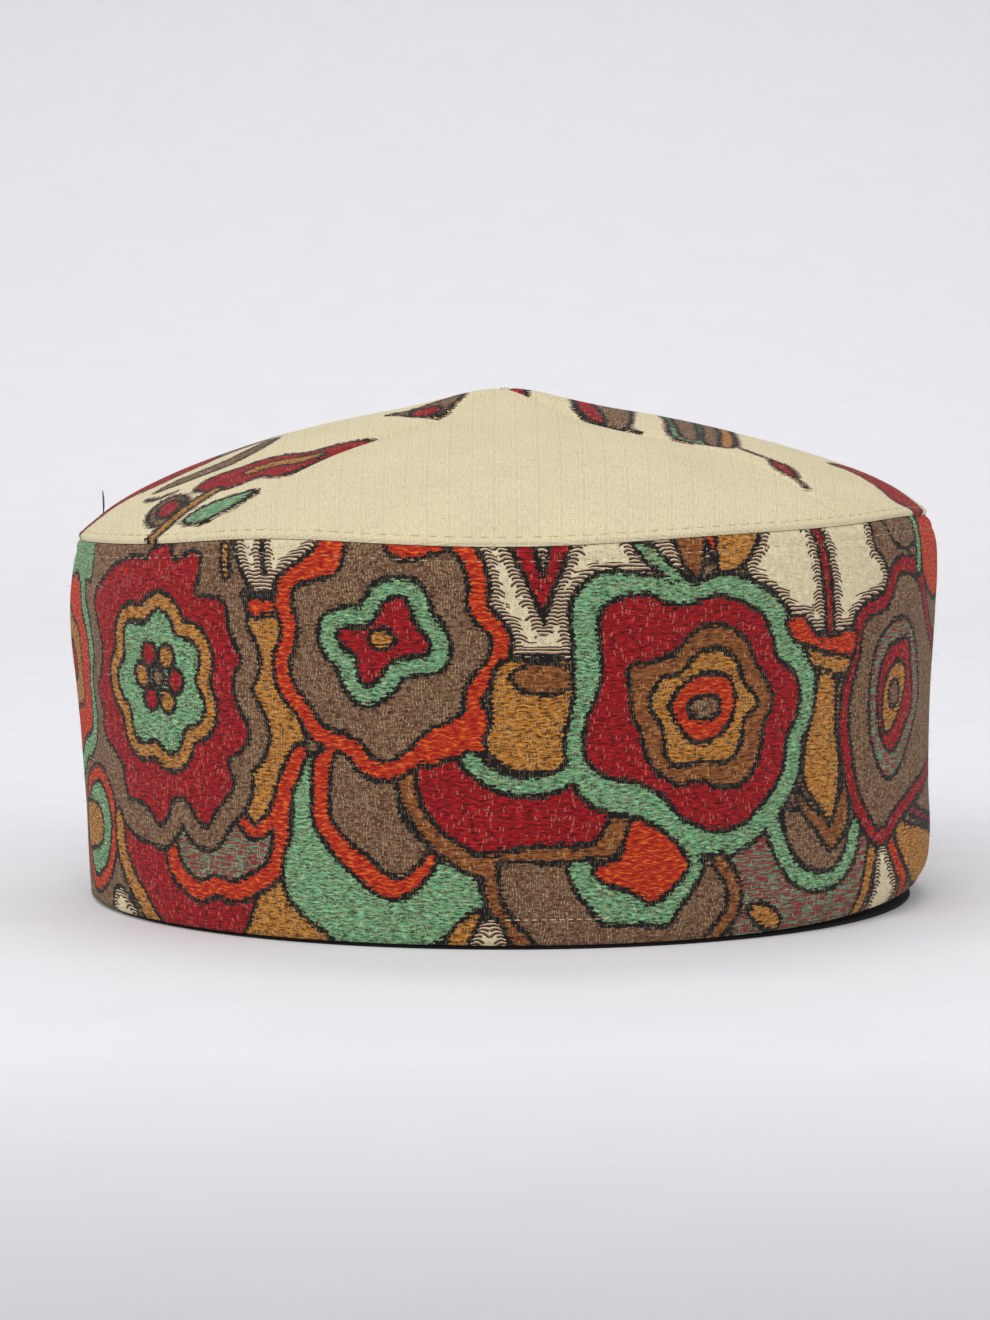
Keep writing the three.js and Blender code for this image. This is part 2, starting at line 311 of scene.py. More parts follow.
STRAND = 0.46  # height of one level strand
BLOCK = 1.1  # length over which an edge steps up or down a strand
RAGGED = 0.34  # how far a strand shifts an edge
OUTLINE = 0.6  # half the width of the black outlines
OUTLINE_COMB = 0.2  # how much that half grows and shrinks
OUTLINE_EDGE = (-0.1, 0.06)
COMB = 0.95  # from one thick place of an outline to the next
SPECK = (0.5, 0.34)  # length and height of the single threads that show as specks
FRINGE_ROW = 0.74  # from one strand of a fringe to the next
FRINGE_REACH = 2.7
CROWN_FRINGE_REACH = 1.3
FRINGE_SPREAD = (0.65, 1.2)  # shares of that reach between which the strands end
FRINGE_LENGTH = 6.0  # length over which a strand keeps its reach
FRINGE_ARC = 0.55  # how high a fringe strand arches
BLACK_STRAND = (0.46, 0.34)  # shares of a fringe's row, below which it is black
MAROON_STRAND = (0.76, 0.66)  # the same for the maroon beside the black
SQUARE = 2.3  # half the side of the nested squares in the crown's cloth
SQUARE_RING = 0.77

# How quickly each noise changes in a millimetre along and up the cloth
BEND_GRAIN = (0.45, 0.3)
LEVEL_GRAIN = (0.55, 2.3)
LONG_GRAIN = (0.3, 2.6)
UPRIGHT_GRAIN = (2.2, 0.5)
PATCH_GRAIN = (0.06, 0.06)
FLUFF_GRAIN = (1.4, 1.4)
# How far each follows the slow bend of the strands
STRAND_BEND = 2.0
LEVEL_BEND = 3.0
LONG_BEND = 2.0
SPECK_BEND = 3.0
FRINGE_BEND = 0.7

# The values between which each mark fades in, and its strengths at both if they aren't 0 and 1
FADES = {
    "bright": (0.52, 0.66),
    "dull": (0.46, 0.36),
    "long_bright": (0.52, 0.57),
    "long_dull": (0.48, 0.43),
    "upright_bright": (0.5, 0.7, 0, 0.7),
    "upright_dull": (0.45, 0.3, 0, 0.7),
    "fleck": (0.16, 0.12),
    "glint": (0.82, 0.86, 0, 0.45),
    "strand": (0.5, 0.1),
}
# The marks of the yarns whose bright and dull strands aren't the common ones
STREAKS = {"cream": ("upright_bright", "upright_dull"), "mottled": ("long_bright", "long_dull")}
# Scattered dashes: the width of their columns, their length, their share of the places, and a seed
DASHES = {
    "stitch": (0.56, 1.0, 0.46, 50),
    "sparse": (0.66, 1.2, 0.2, 51),
    "dot": (0.7, 1.3, 0.46, 60),
    "over_black": (0.5, 1.2, 0.5, 70),
}
SPECK_ROW_SEED = 80
SPECK_SEED = 81
BLOCK_SEED = 30
FRINGE_SEED = 40
# How strongly each mark shows over the yarn
DOT_SHOWS = 0.8
STITCH_SHOWS = 0.66
MAROON_SHOWS = 0.8
OVER_BLACK_SHOWS = 0.7
FLECK_SHOWS = {"taupe": 0.7, "green": 0.35, "red": 0.35, "mottled": 0.5}
DOTTED_YARNS = ("ochre", "green")
STITCHED_YARNS = ("taupe", "green", "ochre")  # the others have sparse stitches or none

# Relief in shares of its depth, which is in millimetres
WEAVE_DEPTH = 0.2
STRAND_RELIEF = 0.35
STITCH_RELIEF = 0.5
SQUARE_RELIEF = 0.6
RELIEF_UNDER_SQUARES = 0.3
PLAIN_DEPTH = 0.15
THREAD_RELIEF = 0.6
FLUFF_RELIEF = 0.5
THREAD_DEPTH = 0.02
# Two values, and the tone of the cloth at each
LEVEL_TONE = (0.3, 0.7, 0.86, 1.08)
SPECK_TONE = (0, 1, 0.92, 1.06)
# Painted shade in the grooves between the nested squares, and a faint painted light on their ridges
SQUARE_GROOVE_SHADE = (0, SQUARE_RELIEF, 0.91, 1.03)
PATCH_TONE = (0.3, 0.7, 0.96, 1.03)
# Painted shade in the hollows between the threads of a plain weave: the share of the colour there, and the
# heights over which it fades out
HOLLOW_SHADE = 0.62  # between the threads of a plain weave
HOLLOW_SHADE_FADE = (0.25, 0.85)
FIBRE_FADE = (0.45, 0.55)
FIBRE_GRAIN = (900, 900)  # of a thread's two colours, in a metre
WOOL_SHEEN = 0.06
PLAIN_SHEEN = 0.05


def weave_material(name, fringe_reach, nested_squares):
    """The woven pattern: each yarn's colour where its area is deepest, outlines and fringes between."""
    n = Nodes(name)
    u, v = n.cloth_place()
    bend = n.noise(u, v, BEND_GRAIN, detail=1)
    strands = n.plus(n.math("DIVIDE", v, STRAND), n.times(bend, STRAND_BEND))
    marks = yarn_marks(n, u, v, bend)
    top, colour = topmost_yarn(n, u, strands, marks)
    colour = fringed(n, u, v, bend, colour, fringe_reach)
    colour = outlined(n, u, v, bend, top, colour)
    bulge = n.times(n.ramp(n.off_middle(strands), *FADES["strand"]), STRAND_RELIEF)
    height = n.plus(bulge, n.plus(marks["level"], n.times(marks["stitch"], STITCH_RELIEF)))
    if nested_squares:
        squares = nested_relief(n, u, v)
        height = n.plus(n.times(height, RELIEF_UNDER_SQUARES), squares)
        # Painted shade in the grooves of the nested squares, and a faint painted light on their ridges
        tone = n.ramp(squares, *SQUARE_GROOVE_SHADE)
    else:
        tone = n.times(n.ramp(marks["level"], *LEVEL_TONE), n.ramp(marks["speck"], *SPECK_TONE))
    patches = n.ramp(n.noise(u, v, PATCH_GRAIN, detail=3), *PATCH_TONE)
    return n.cloth(n.shade(colour, n.times(tone, patches)), height, WEAVE_DEPTH, WOOL_SHEEN)


def yarn_marks(n, u, v, bend):
    """Where strands are bright or dull, and where specks, dots and upright stitches show."""
    level = n.noise(u, v, LEVEL_GRAIN, shift=n.times(bend, LEVEL_BEND))
    long = n.noise(u, v, LONG_GRAIN, shift=n.times(bend, LONG_BEND))
    upright = n.noise(u, v, UPRIGHT_GRAIN)
    length, high = SPECK
    row = n.math("FLOOR", n.plus(n.math("DIVIDE", v, high), n.times(bend, SPECK_BEND)))
    column = n.plus(n.math("DIVIDE", u, length), n.chance(row, 0.0, SPECK_ROW_SEED))
    speck = n.chance(n.math("FLOOR", column), row, SPECK_SEED)
    seen_in = {"bright": level, "dull": level, "long_bright": long, "long_dull": long,
               "upright_bright": upright, "upright_dull": upright, "fleck": speck, "glint": speck}
    marks = {mark: n.ramp(value, *FADES[mark]) for mark, value in seen_in.items()}
    marks["level"] = level
    marks["speck"] = speck
    marks["stitch"] = n.dashes(u, v, *DASHES["stitch"])
    marks["sparse"] = n.dashes(u, v, *DASHES["sparse"])
    marks["dot"] = n.dashes(v, u, *DASHES["dot"])
    return marks


def yarn_colour(n, yarn, marks):
    main, light, dark, stitch = YARNS[yarn]
    bright, dull = (marks[mark] for mark in STREAKS.get(yarn, ("bright", "dull")))
    colour = n.mix(dull, n.mix(bright, main, light), dark)
    if yarn == "taupe":
        colour = n.mix(marks["glint"], colour, light)
    if yarn in FLECK_SHOWS:
        colour = n.mix(n.times(marks["fleck"], FLECK_SHOWS[yarn]), colour, FLECK)
    if yarn in DOTTED_YARNS:
        colour = n.mix(n.times(marks["dot"], DOT_SHOWS), colour, FLECK)
    if stitch:
        crossing = marks["stitch"] if yarn in STITCHED_YARNS else marks["sparse"]
        colour = n.mix(n.times(crossing, STITCH_SHOWS), colour, stitch)
    return colour


def topmost_yarn(n, u, strands, marks):
    """The depth and colour of the yarn that lies on top, its edges stepped strand by strand."""
    row = n.math("FLOOR", strands)
    block = n.math("FLOOR", n.plus(n.math("DIVIDE", u, BLOCK), n.chance(row, 0.0, BLOCK_SEED)))
    top, colour = None, None
    for seed, yarn in enumerate(YARNS):
        hop = n.ramp(n.chance(block, row, seed), 0, 1, -RAGGED, RAGGED)
        depth = n.plus(n.attribute("in_" + yarn)["Fac"], hop)
        shade = yarn_colour(n, yarn, marks)
        if top is None:
            top, colour = depth, shade
        else:
            colour = n.mix(n.math("GREATER_THAN", depth, top), colour, shade)
            top = n.math("MAXIMUM", top, depth)
    return top, colour


def fringed(n, u, v, bend, colour, longest):
    """Level strands of black and maroon that arch from the motifs out over the cream."""
    depth = n.attribute("in_cream")["Fac"]
    arc = n.times(n.math("SINE", n.times(depth, math.pi / longest)), FRINGE_ARC)
    rows = n.math("DIVIDE", n.math("SUBTRACT", v, arc), FRINGE_ROW)
    strands = n.plus(rows, n.times(bend, FRINGE_BEND))
    phase = n.math("FRACT", strands)
    stretch = n.math("FLOOR", n.math("DIVIDE", u, FRINGE_LENGTH))
    luck = n.chance(n.math("FLOOR", strands), stretch, FRINGE_SEED)
    reach = n.ramp(luck, 0, 1, *(longest * share for share in FRINGE_SPREAD))
    there = n.times(n.math("GREATER_THAN", depth, 0.0), n.math("LESS_THAN", depth, reach))
    maroon = n.times(n.ramp(phase, *MAROON_STRAND), MAROON_SHOWS)
    colour = n.mix(n.times(there, maroon), colour, MAROON)
    return n.mix(n.times(there, n.ramp(phase, *BLACK_STRAND)), colour, BLACK)


def outlined(n, u, v, bend, top, colour):
    """Black along every edge, thick and thin like a comb, with light threads crossing it."""
    comb = n.math("SINE", n.times(n.plus(n.math("DIVIDE", v, COMB), bend), 2 * math.pi))
    half = n.plus(OUTLINE, n.times(comb, OUTLINE_COMB))
    outline = n.ramp(n.math("SUBTRACT", top, half), *OUTLINE_EDGE, 1, 0)
    crossing = n.times(n.dashes(u, v, *DASHES["over_black"]), OVER_BLACK_SHOWS)
    return n.mix(outline, colour, n.mix(crossing, BLACK, THREADS_OVER_BLACK))


def nested_relief(n, u, v):
    """Squares within squares, raised a little out of the cream cloth."""
    rings = n.math("MAXIMUM", n.math("PINGPONG", u, SQUARE), n.math("PINGPONG", v, SQUARE))
    ripple = n.math("SINE", n.times(rings, 2 * math.pi / SQUARE_RING))
    return n.ramp(ripple, -1, 1, 0, SQUARE_RELIEF)


def plain_material(name, colour, thread):
    """A plain weave: threads over and under, in one colour, with painted shade in the hollows between them.
    """
    n = Nodes(name)
    u, v = n.cloth_place()
    warp = n.math("SINE", n.times(u, math.pi / thread))
    weft = n.math("SINE", n.times(v, math.pi / thread))
    threads = n.ramp(n.times(warp, weft), -1, 1, 0, THREAD_RELIEF)
    height = n.plus(threads, n.times(n.noise(u, v, FLUFF_GRAIN, detail=3), FLUFF_RELIEF))
    # Painted shade: darker in the hollows between the threads
    hollow_shade = tuple(part * HOLLOW_SHADE for part in colour)
    return n.cloth(n.mix(n.ramp(height, *HOLLOW_SHADE_FADE), hollow_shade, colour), height, PLAIN_DEPTH, PLAIN_SHEEN)


def thread_material(name, one, other):
    """Loose fibres of two colours, changing from place to place."""
    n = Nodes(name)
    x, y, z = n.object_place()
    patch = n.noise(n.plus(x, y), z, FIBRE_GRAIN, detail=1)
    return n.cloth(n.mix(n.ramp(patch, *FIBRE_FADE), one, other), patch, THREAD_DEPTH)


# Shape of the cap

def smooth_step(value, low, high):
    t = np.clip((value - low) / (high - low), 0, 1)
    return t * t * (3 - 2 * t)


def ridge(value, centre, half_width):
    return np.exp(-(((value - centre) / half_width) ** 2))


def bell(azimuth, centre, half_width):
    return ridge((azimuth - centre + 180) % 360 - 180, 0, half_width)


def bells(azimuth, table):
    return sum(height * bell(azimuth, centre, width) for centre, height, width in table)


def smooth_curve(knots, values, at):
    """A smooth curve through a table's values."""
    knots, values = np.array(knots, float), np.array(values, float)
    slopes = np.gradient(values, knots)
    i = np.clip(np.searchsorted(knots, at) - 1, 0, len(knots) - 2)
    span = knots[i + 1] - knots[i]
    t = np.clip((at - knots[i]) / span, 0, 1)
    rise = values[i + 1] - values[i]
    bend = t * (1 - t) * span * ((1 - t) * slopes[i] - t * slopes[i + 1])
    return values[i] + rise * t * t * (3 - 2 * t) + bend


def place(azimuth, radius, height):
    a = np.radians(azimuth)
    return np.stack([radius * np.sin(a), -radius * np.cos(a), height + 0 * a], axis=-1)


def seam_height(azimuth):
    return SEAM_HEIGHT + SEAM_TILT * np.sin(np.radians(azimuth)) + bells(azimuth, SEAM_WANDERS)


def band_foot(azimuth):
    return LIP_HEIGHT + SHOWN_GAP + bells(azimuth, HEM_LIFTS)


def band_share(azimuth, height):
    """The share of the band's height at which a height lies."""
    foot = band_foot(azimuth)
    return (height - foot) / (seam_height(azimuth) - foot)


def band_radius(azimuth, share):
    sine, cosine = np.sin(np.radians(azimuth)), np.cos(np.radians(azimuth))
    side = {key: smooth_curve(BAND_SECTIONS["share"], values, share)
            for key, values in BAND_SECTIONS.items() if key != "share"}
    ends = np.where(cosine > 0, side["front"], side["back"])
    flanks = np.where(sine > 0, side["right"], side["left"])
    waves = sum(depth * np.sin(np.radians(lobes * azimuth + phase)) for lobes, depth, phase in BAND_WAVES)
    creases = sum(
        depth * bell(azimuth, centre, width) * smooth_step(share, low, low + CREASE_FADE)
        * (1 - smooth_step(share, high - CREASE_FADE, high))
        for centre, depth, width, low, high in BAND_CREASES)
    return ends * cosine**2 + flanks * sine**2 + waves * smooth_step(share, 0, WAVE_FADE) - creases


def band_height(azimuth, share):
    foot = band_foot(azimuth)
    return foot + (seam_height(azimuth) - SHOWN_GAP / 2 - foot) * share


# Sewn edges beside the crown seam

STITCH_ABOVE = 2.1  # of the crown's row of stitches, above the seam
STITCH_BELOW = 2.8  # of the band's own row
# How far each edge is turned in at the seam and pulled in at its stitches
BAND_EDGE = (0.2, 0.14)
CROWN_EDGE = (0.1, 0.08)
TURNED_WIDTH = 0.9
PLUMP_WIDTH = 0.8
PULLED_WIDTH = 0.6
GATHERS = (0.14, 0.8, 1.6)  # depth, distance from the seam, half width
GATHER_WAVES = [(127, 0), (86, 40)]  # how many there are all round, and their phase


def sewn_edge(azimuth, away, groove, edge):
    """How far a sewn edge stands out: turned in at the seam, plump beside it, pulled in at its stitches."""
    turned_in, pulled_in = edge
    turn = -turned_in * (1 - smooth_step(away, 0, TURNED_WIDTH))
    plump = pulled_in * ridge(away, groove / 2, PLUMP_WIDTH)
    pulled = -pulled_in * ridge(away, groove, PULLED_WIDTH)
    waves = [np.sin(np.radians(azimuth * count + phase)) for count, phase in GATHER_WAVES]
    depth, distance, width = GATHERS
    gathers = depth * sum(waves) / len(waves) * ridge(away, distance, width)
    return turn + plump + pulled + gathers


# Lines and areas of the weave

CURVE_STEPS = 5  # from one charted point of an area to the next
STEM_STEPS = 6
OVAL_STEPS = 20
FLOWER_STEPS = 84
NOTCH = 2.5  # how sharp the notches between petals are
DEEPEST = 6.0  # depths are kept up to this far from an edge


def closed_curve(points):
    """A smooth closed line through a few points."""
    p = np.array(points, float)
    before, after, beyond = np.roll(p, 1, 0), np.roll(p, -1, 0), np.roll(p, -2, 0)
    t = (np.arange(CURVE_STEPS) / CURVE_STEPS)[:, None, None]
    line = 0.5 * (2 * p + (after - before) * t + (2 * before - 5 * p + 4 * after - beyond) * t**2
                  + (3 * p - before - 3 * after + beyond) * t**3)
    return line.transpose(1, 0, 2).reshape(-1, 2)


def open_curve(points):
    """A smooth line from the first point to the last."""
    p = np.array(points, float)
    along = np.arange(len(p))
    at = np.linspace(0, len(p) - 1, (len(p) - 1) * STEM_STEPS + 1)
    return np.stack([smooth_curve(along, p[:, k], at) for k in (0, 1)], axis=-1)


def oval(x, y, wide, high):
    turn = np.linspace(0, 2 * math.pi, OVAL_STEPS, endpoint=False)
    return np.stack([x + wide * np.cos(turn), y + high * np.sin(turn)], axis=-1)


def lobed(x, y, radius, lobes, depth, first):
    """A round flower with even lobes, one of them at the angle first, and sharp notches between."""
    turn = np.linspace(0, 2 * math.pi, FLOWER_STEPS, endpoint=False)
    r = radius - depth * np.abs(np.sin((turn - math.radians(first)) * lobes / 2)) ** NOTCH
    return np.stack([x + r * np.cos(turn), y + r * np.sin(turn)], axis=-1)


def depth_inside(points, line, closed):
    """How deep points lie inside a closed line, less than 0 outside, or minus the distance to an open one."""
    start = line if closed else line[:-1]
    end = np.roll(line, -1, 0) if closed else line[1:]
    step = end - start
    to = points[:, None, :] - start[None]
    share = np.clip((to * step).sum(-1) / np.maximum((step**2).sum(-1), TINY), 0, 1)
    distance = np.sqrt(((to - share[..., None] * step) ** 2).sum(-1)).min(1)
    if not closed:
        return -distance
    level = (start[:, 1] > points[:, 1, None]) != (end[:, 1] > points[:, 1, None])
    rise = np.where(step[:, 1] == 0, TINY, step[:, 1])
    edge = start[:, 0] + (points[:, 1, None] - start[:, 1]) / rise * step[:, 0]
    inside = (level & (points[:, 0, None] < edge)).sum(1) % 2 == 1
    return np.where(inside, distance, -distance)


class Weave:
    """Areas of yarn laid one over another on places in the cloth."""

    def __init__(self, places, ground, repeat=None):
        self.places = places
        self.repeat = repeat
        self.depth = {yarn: np.full(len(places), -DEEPEST) for yarn in YARNS}
        self.depth[ground][:] = DEEPEST

    def near(self, line, margin):
        """The places beside a line, and the line itself, at each of its repeats."""
        for shift in (-self.repeat, 0, self.repeat) if self.repeat else (0,):
            moved = line + [shift, 0]
            low, high = moved.min(0) - margin, moved.max(0) + margin
            close = np.flatnonzero(((self.places > low) & (self.places < high)).all(1))
            if len(close):
                yield close, moved

    def lay(self, yarn, line, grow=0.0, closed=True):
        for close, moved in self.near(line, abs(grow) + DEEPEST):
            inside = np.clip(depth_inside(self.places[close], moved, closed) + grow, -DEEPEST, DEEPEST)
            for other, depth in self.depth.items():
                lower = np.minimum(depth[close], -inside)
                depth[close] = np.maximum(depth[close], inside) if other == yarn else lower

    def area(self, yarn, *points, grow=0.0):
        self.lay(yarn, closed_curve(points), grow)

    def stem(self, yarn, width, *points):
        self.lay(yarn, open_curve(points), width / 2, closed=False)

    def black_line(self, *points):
        """An outline without an area of its own."""
        for close, moved in self.near(open_curve(points), DEEPEST):
            away = -depth_inside(self.places[close], moved, False)
            for depth in self.depth.values():
                depth[close] = np.minimum(depth[close], away)

    def store(self, mesh, count):
        """Writes the depths as attributes of the mesh's first points."""
        for yarn, depth in self.depth.items():
            values = np.full(len(mesh.vertices), -DEEPEST, np.float32)
            values[:count] = depth
            mesh.attributes.new("in_" + yarn, "FLOAT", "POINT").data.foreach_set("value", values)


# Motifs of the band, charted one by one. Across is along the band from its front, up is from the floor.

def weave_band(weave):
    """The band's cream fields and its flowers, each over what it overlaps."""
    cream_fields(weave)
    left_flower(weave)
    horseshoe(weave)
    leaves_below_right_flower(weave)
    right_flower(weave)
    ochre_gap(weave)
    cupped_leaf(weave)
    bowl(weave)
    ringed_flower(weave)
    ochre_block(weave)
    red_flower(weave)
    star_flower(weave)
    ochre_blade(weave)
    heart(weave)
    buds_on_cream(weave)


def cream_fields(weave):
    """Cream along the top of the band, under the flowers that cut into it."""
    weave.area("cream", (-59.6, 88), (-57.6, 78.4), (-55, 73.6), (-52.6, 70.6), (-48.6, 70.2), (-43, 70),
               (-36, 76), (-34, 88))
    weave.area("cream", (-18, 88), (-12, 74), (-8, 62), (-2, 57), (6, 56.4), (14, 56.6), (18, 68),
               (28, 74), (40, 76), (46, 88))
    weave.area("cream", (50, 88), (49, 76), (52, 68), (58, 62), (66, 60), (78, 60), (82, 65), (86, 67.8),
               (92, 70.4), (90, 75), (86.4, 79), (85, 88))


def left_flower(weave):
    """An orange flower at the left turn of the band, in a green ring."""
    petals = lobed(-134, 52, 20.5, 7, 2.5, 12)
    weave.lay("green", petals, 5)
    weave.area("green", (-152, 84), (-116, 84), (-111.6, 78), (-110.4, 71), (-116, 70), (-134, 70),
               (-152, 70))
    weave.lay("orange", petals)
    weave.lay("ochre", lobed(-134, 52, 12, 5, 2, 30))
    weave.lay("red", oval(-134, 52, 5, 4.5))


def right_flower(weave):
    """A wide taupe flower at the right turn of the band, in a red ring."""
    body = [(79.2, 46), (81.6, 55), (82.8, 62.2), (86, 64.2), (91.4, 65.4), (94.4, 69.2), (96.6, 72.2),
            (102, 72.2), (107, 70.2), (113, 64.6), (120, 58.4), (128, 54), (134, 46), (133, 34),
            (122, 29.6), (110, 26.8), (100, 23.4), (95, 20.2), (91.2, 19.6), (87.6, 23), (83.8, 28),
            (80.8, 36)]
    weave.area("red", *body, grow=3.6)
    weave.area("taupe", *body)
    weave.area("mottled", (86.4, 47), (87.4, 56), (91, 60.6), (97.5, 63.3), (104, 61.4), (110.5, 53),
               (112.5, 45), (107, 37), (99, 30), (93, 31), (88, 38))
    weave.area("red", (89.9, 44.5), (90.3, 52.7), (93.6, 57.2), (98.6, 58.6), (103.3, 58.2), (106, 52.2),
               (108, 44.5), (103.4, 39.8), (100.4, 36.4), (96.4, 35.4), (92.6, 38))
    weave.area("ochre", (91.9, 46), (93.4, 51.2), (97, 54), (101.6, 53.4), (103.2, 49.8), (101.6, 45.4),
               (98, 41), (94.6, 39.4), (92.4, 41.8))
    weave.lay("taupe", oval(97.3, 47.3, 2.6, 2.9))
    weave.black_line((92.6, 84), (94.1, 80), (97, 77.9), (101.3, 77.4), (106, 79))
    weave.area("orange", (110.4, 73), (111.4, 82), (120, 85), (136, 84), (146, 76), (144, 69), (130, 65.6),
               (116, 68.6))
    weave.stem("green", 3.4, (107.6, 73.4), (108, 79), (112, 86), (124, 88))


def horseshoe(weave):
    """A green horseshoe in an orange ring, an ochre stem beside it, and red under the first big flower."""
    ring = [(-122, 24), (-115, 27.5), (-109, 27), (-105, 21), (-106, 14), (-110, 9), (-119, 6.5),
            (-125, 13)]
    weave.area("orange", *ring, grow=3.2)
    weave.area("green", *ring, grow=-0.4)
    weave.area("ochre", (-127, 21), (-117, 22.5), (-112, 21), (-110.6, 17), (-114, 13.5), (-126, 12.5))
    weave.area("red", (-98.5, 20), (-92, 17.5), (-84, 17), (-78, 18), (-70, 14), (-56, 12), (-51, 10),
               (-53, 5), (-58, -2), (-84, -2), (-93, 6), (-97, 12))
    weave.stem("ochre", 4.6, (-100.8, 20.5), (-99.6, 14), (-95, 8.5), (-90.5, 4.6), (-84.6, -1))
    weave.area("cream", (-105.5, 4.4), (-101, 6.2), (-96.5, 4.4), (-92.6, 1.2), (-92, -2), (-104, -2))


def leaves_below_right_flower(weave):
    """A leaf in a tan sheath and a green ring, and the stems and leaves beside it."""
    weave.area("mottled", (42, 19), (52, 22), (60, 29), (72, 30), (84, 28), (91, 20), (90, 8), (89, -3),
               (64, -3), (40, -3), (41, 10))
    weave.area("taupe", (61, 26), (66.9, 24.5), (71.4, 19), (74.5, 17.2), (77.7, 20), (80.6, 18),
               (78, 12.6), (70, 12.8), (63.4, 17), (61.4, 21))
    weave.stem("green", 4.2, (57.6, 24), (59.8, 18.8), (63.6, 13.2), (70, 10.6), (76.2, 11.2), (80.4, 15),
               (82.6, 20.5))
    weave.area("tan", (63.6, 29.6), (66.4, 28.8), (69.6, 26.4), (72.1, 24), (74.3, 21.9), (77, 27.3),
               (78.2, 31.4), (80.2, 27), (79.8, 21.7), (76.9, 18.2), (73.7, 16.8), (70.2, 20.8),
               (66, 24.6))
    weave.stem("ochre", 3.8, (89.6, 18), (88.4, 13), (87, 7), (85, -2))
    weave.area("cream", (91.2, 17.4), (94.4, 16.8), (99, 10.6), (102.6, 6), (101, -2), (91, -2), (90.2, 8))
    weave.area("ochre", (100.3, 21.4), (106, 19.4), (118, 17.2), (131, 14.4), (138, 9), (130, 4.6),
               (114, 5.4), (104.5, 11.4), (100, 16))
    weave.stem("orange", 3.6, (96.2, 17), (100.3, 12), (106.4, 6.6), (109, 2))
    weave.stem("red", 2.2, (106, 22.6), (118, 19.6), (134, 17))
    weave.lay("green", oval(110.5, 24.4, 4.4, 1.7))


def ochre_gap(weave):
    """Ochre between the first two flowers, and the scalloped stem that runs under them."""
    weave.area("mottled", (-78, 22), (-64, 24), (-50, 23), (-49, 14), (-56, 10.5), (-70, 9), (-79, 14))
    weave.area("ochre", (-60, 68), (-46, 66), (-44, 50), (-41, 42), (-46, 33), (-50, 25), (-58, 24),
               (-58, 40))
    weave.area("ochre", (-52, 11), (-48, 13), (-44, 10), (-37, 4), (-33, -3), (-57, -3), (-56, 4))
    weave.stem("orange", 4.4, (-79.4, 17.5), (-77.2, 12.4), (-70.4, 8.6), (-65, 10), (-60.4, 9.2),
               (-55, 11), (-49.8, 14.4), (-48, 19), (-47.6, 26), (-46, 32), (-42.6, 38))
    weave.stem("orange", 3.2, (-58, 24.6), (-54.6, 21.8), (-50.4, 24), (-48, 28))


def cupped_leaf(weave):
    """A taupe leaf with an orange edge, held in a big green cup."""
    weave.area("green", (-40.3, 38), (-43.1, 33.4), (-44.7, 30), (-44.9, 26), (-45.6, 21.4), (-47, 17.8),
               (-47.5, 13.6), (-46.3, 9), (-43.4, 6), (-38.4, 2.8), (-33.8, 0.2), (-16.8, 0.4),
               (-12.1, 2.4), (-9.6, 5.2), (-4.4, 8.4), (-4.8, 11.6), (-6.4, 15.3), (-10.2, 17.6),
               (-14.4, 18.4), (-20, 24), (-34, 38))
    weave.area("orange", (-39, 38.4), (-40.2, 29.8), (-40, 24.4), (-36.7, 19.5), (-30.8, 14),
               (-24.9, 10.1), (-20.4, 10.3), (-15.8, 14.2), (-13.8, 19.8), (-19, 26), (-30, 39))
    weave.area("taupe", (-34.7, 39), (-36.3, 29.8), (-35.8, 25), (-31.7, 20.8), (-27.9, 18), (-24.4, 15.2),
               (-21.4, 14.1), (-18, 16.6), (-15.4, 20.4), (-18.1, 23), (-21, 26.8), (-21.6, 31.4),
               (-24, 36), (-30, 40))


def bowl(weave):
    """A red bowl in a tan rim."""
    weave.area("tan", (-21.6, 33.4), (-21.1, 29.7), (-19, 25.6), (-15.6, 21), (-11.4, 17.5), (-6.2, 14.9),
               (-1.1, 14.8), (1.9, 15.4), (6.8, 15.2), (12, 15), (17.9, 16.2), (22, 18.7), (24.3, 22.5),
               (25.2, 27), (21, 28.6), (14, 36), (-10, 40), (-20, 38))
    weave.area("red", (-17.7, 33.2), (-17.4, 37), (-13.5, 38.7), (-8.6, 39), (-5, 38), (0, 36), (6, 34.6),
               (13, 34), (16.9, 30.4), (20.9, 27), (19.4, 23.7), (17.2, 21.1), (11.8, 20.8), (6.8, 20.6),
               (1.8, 20.2), (-3.1, 19.4), (-6.2, 19.4), (-10.2, 22), (-14.1, 24.9), (-16.8, 29))


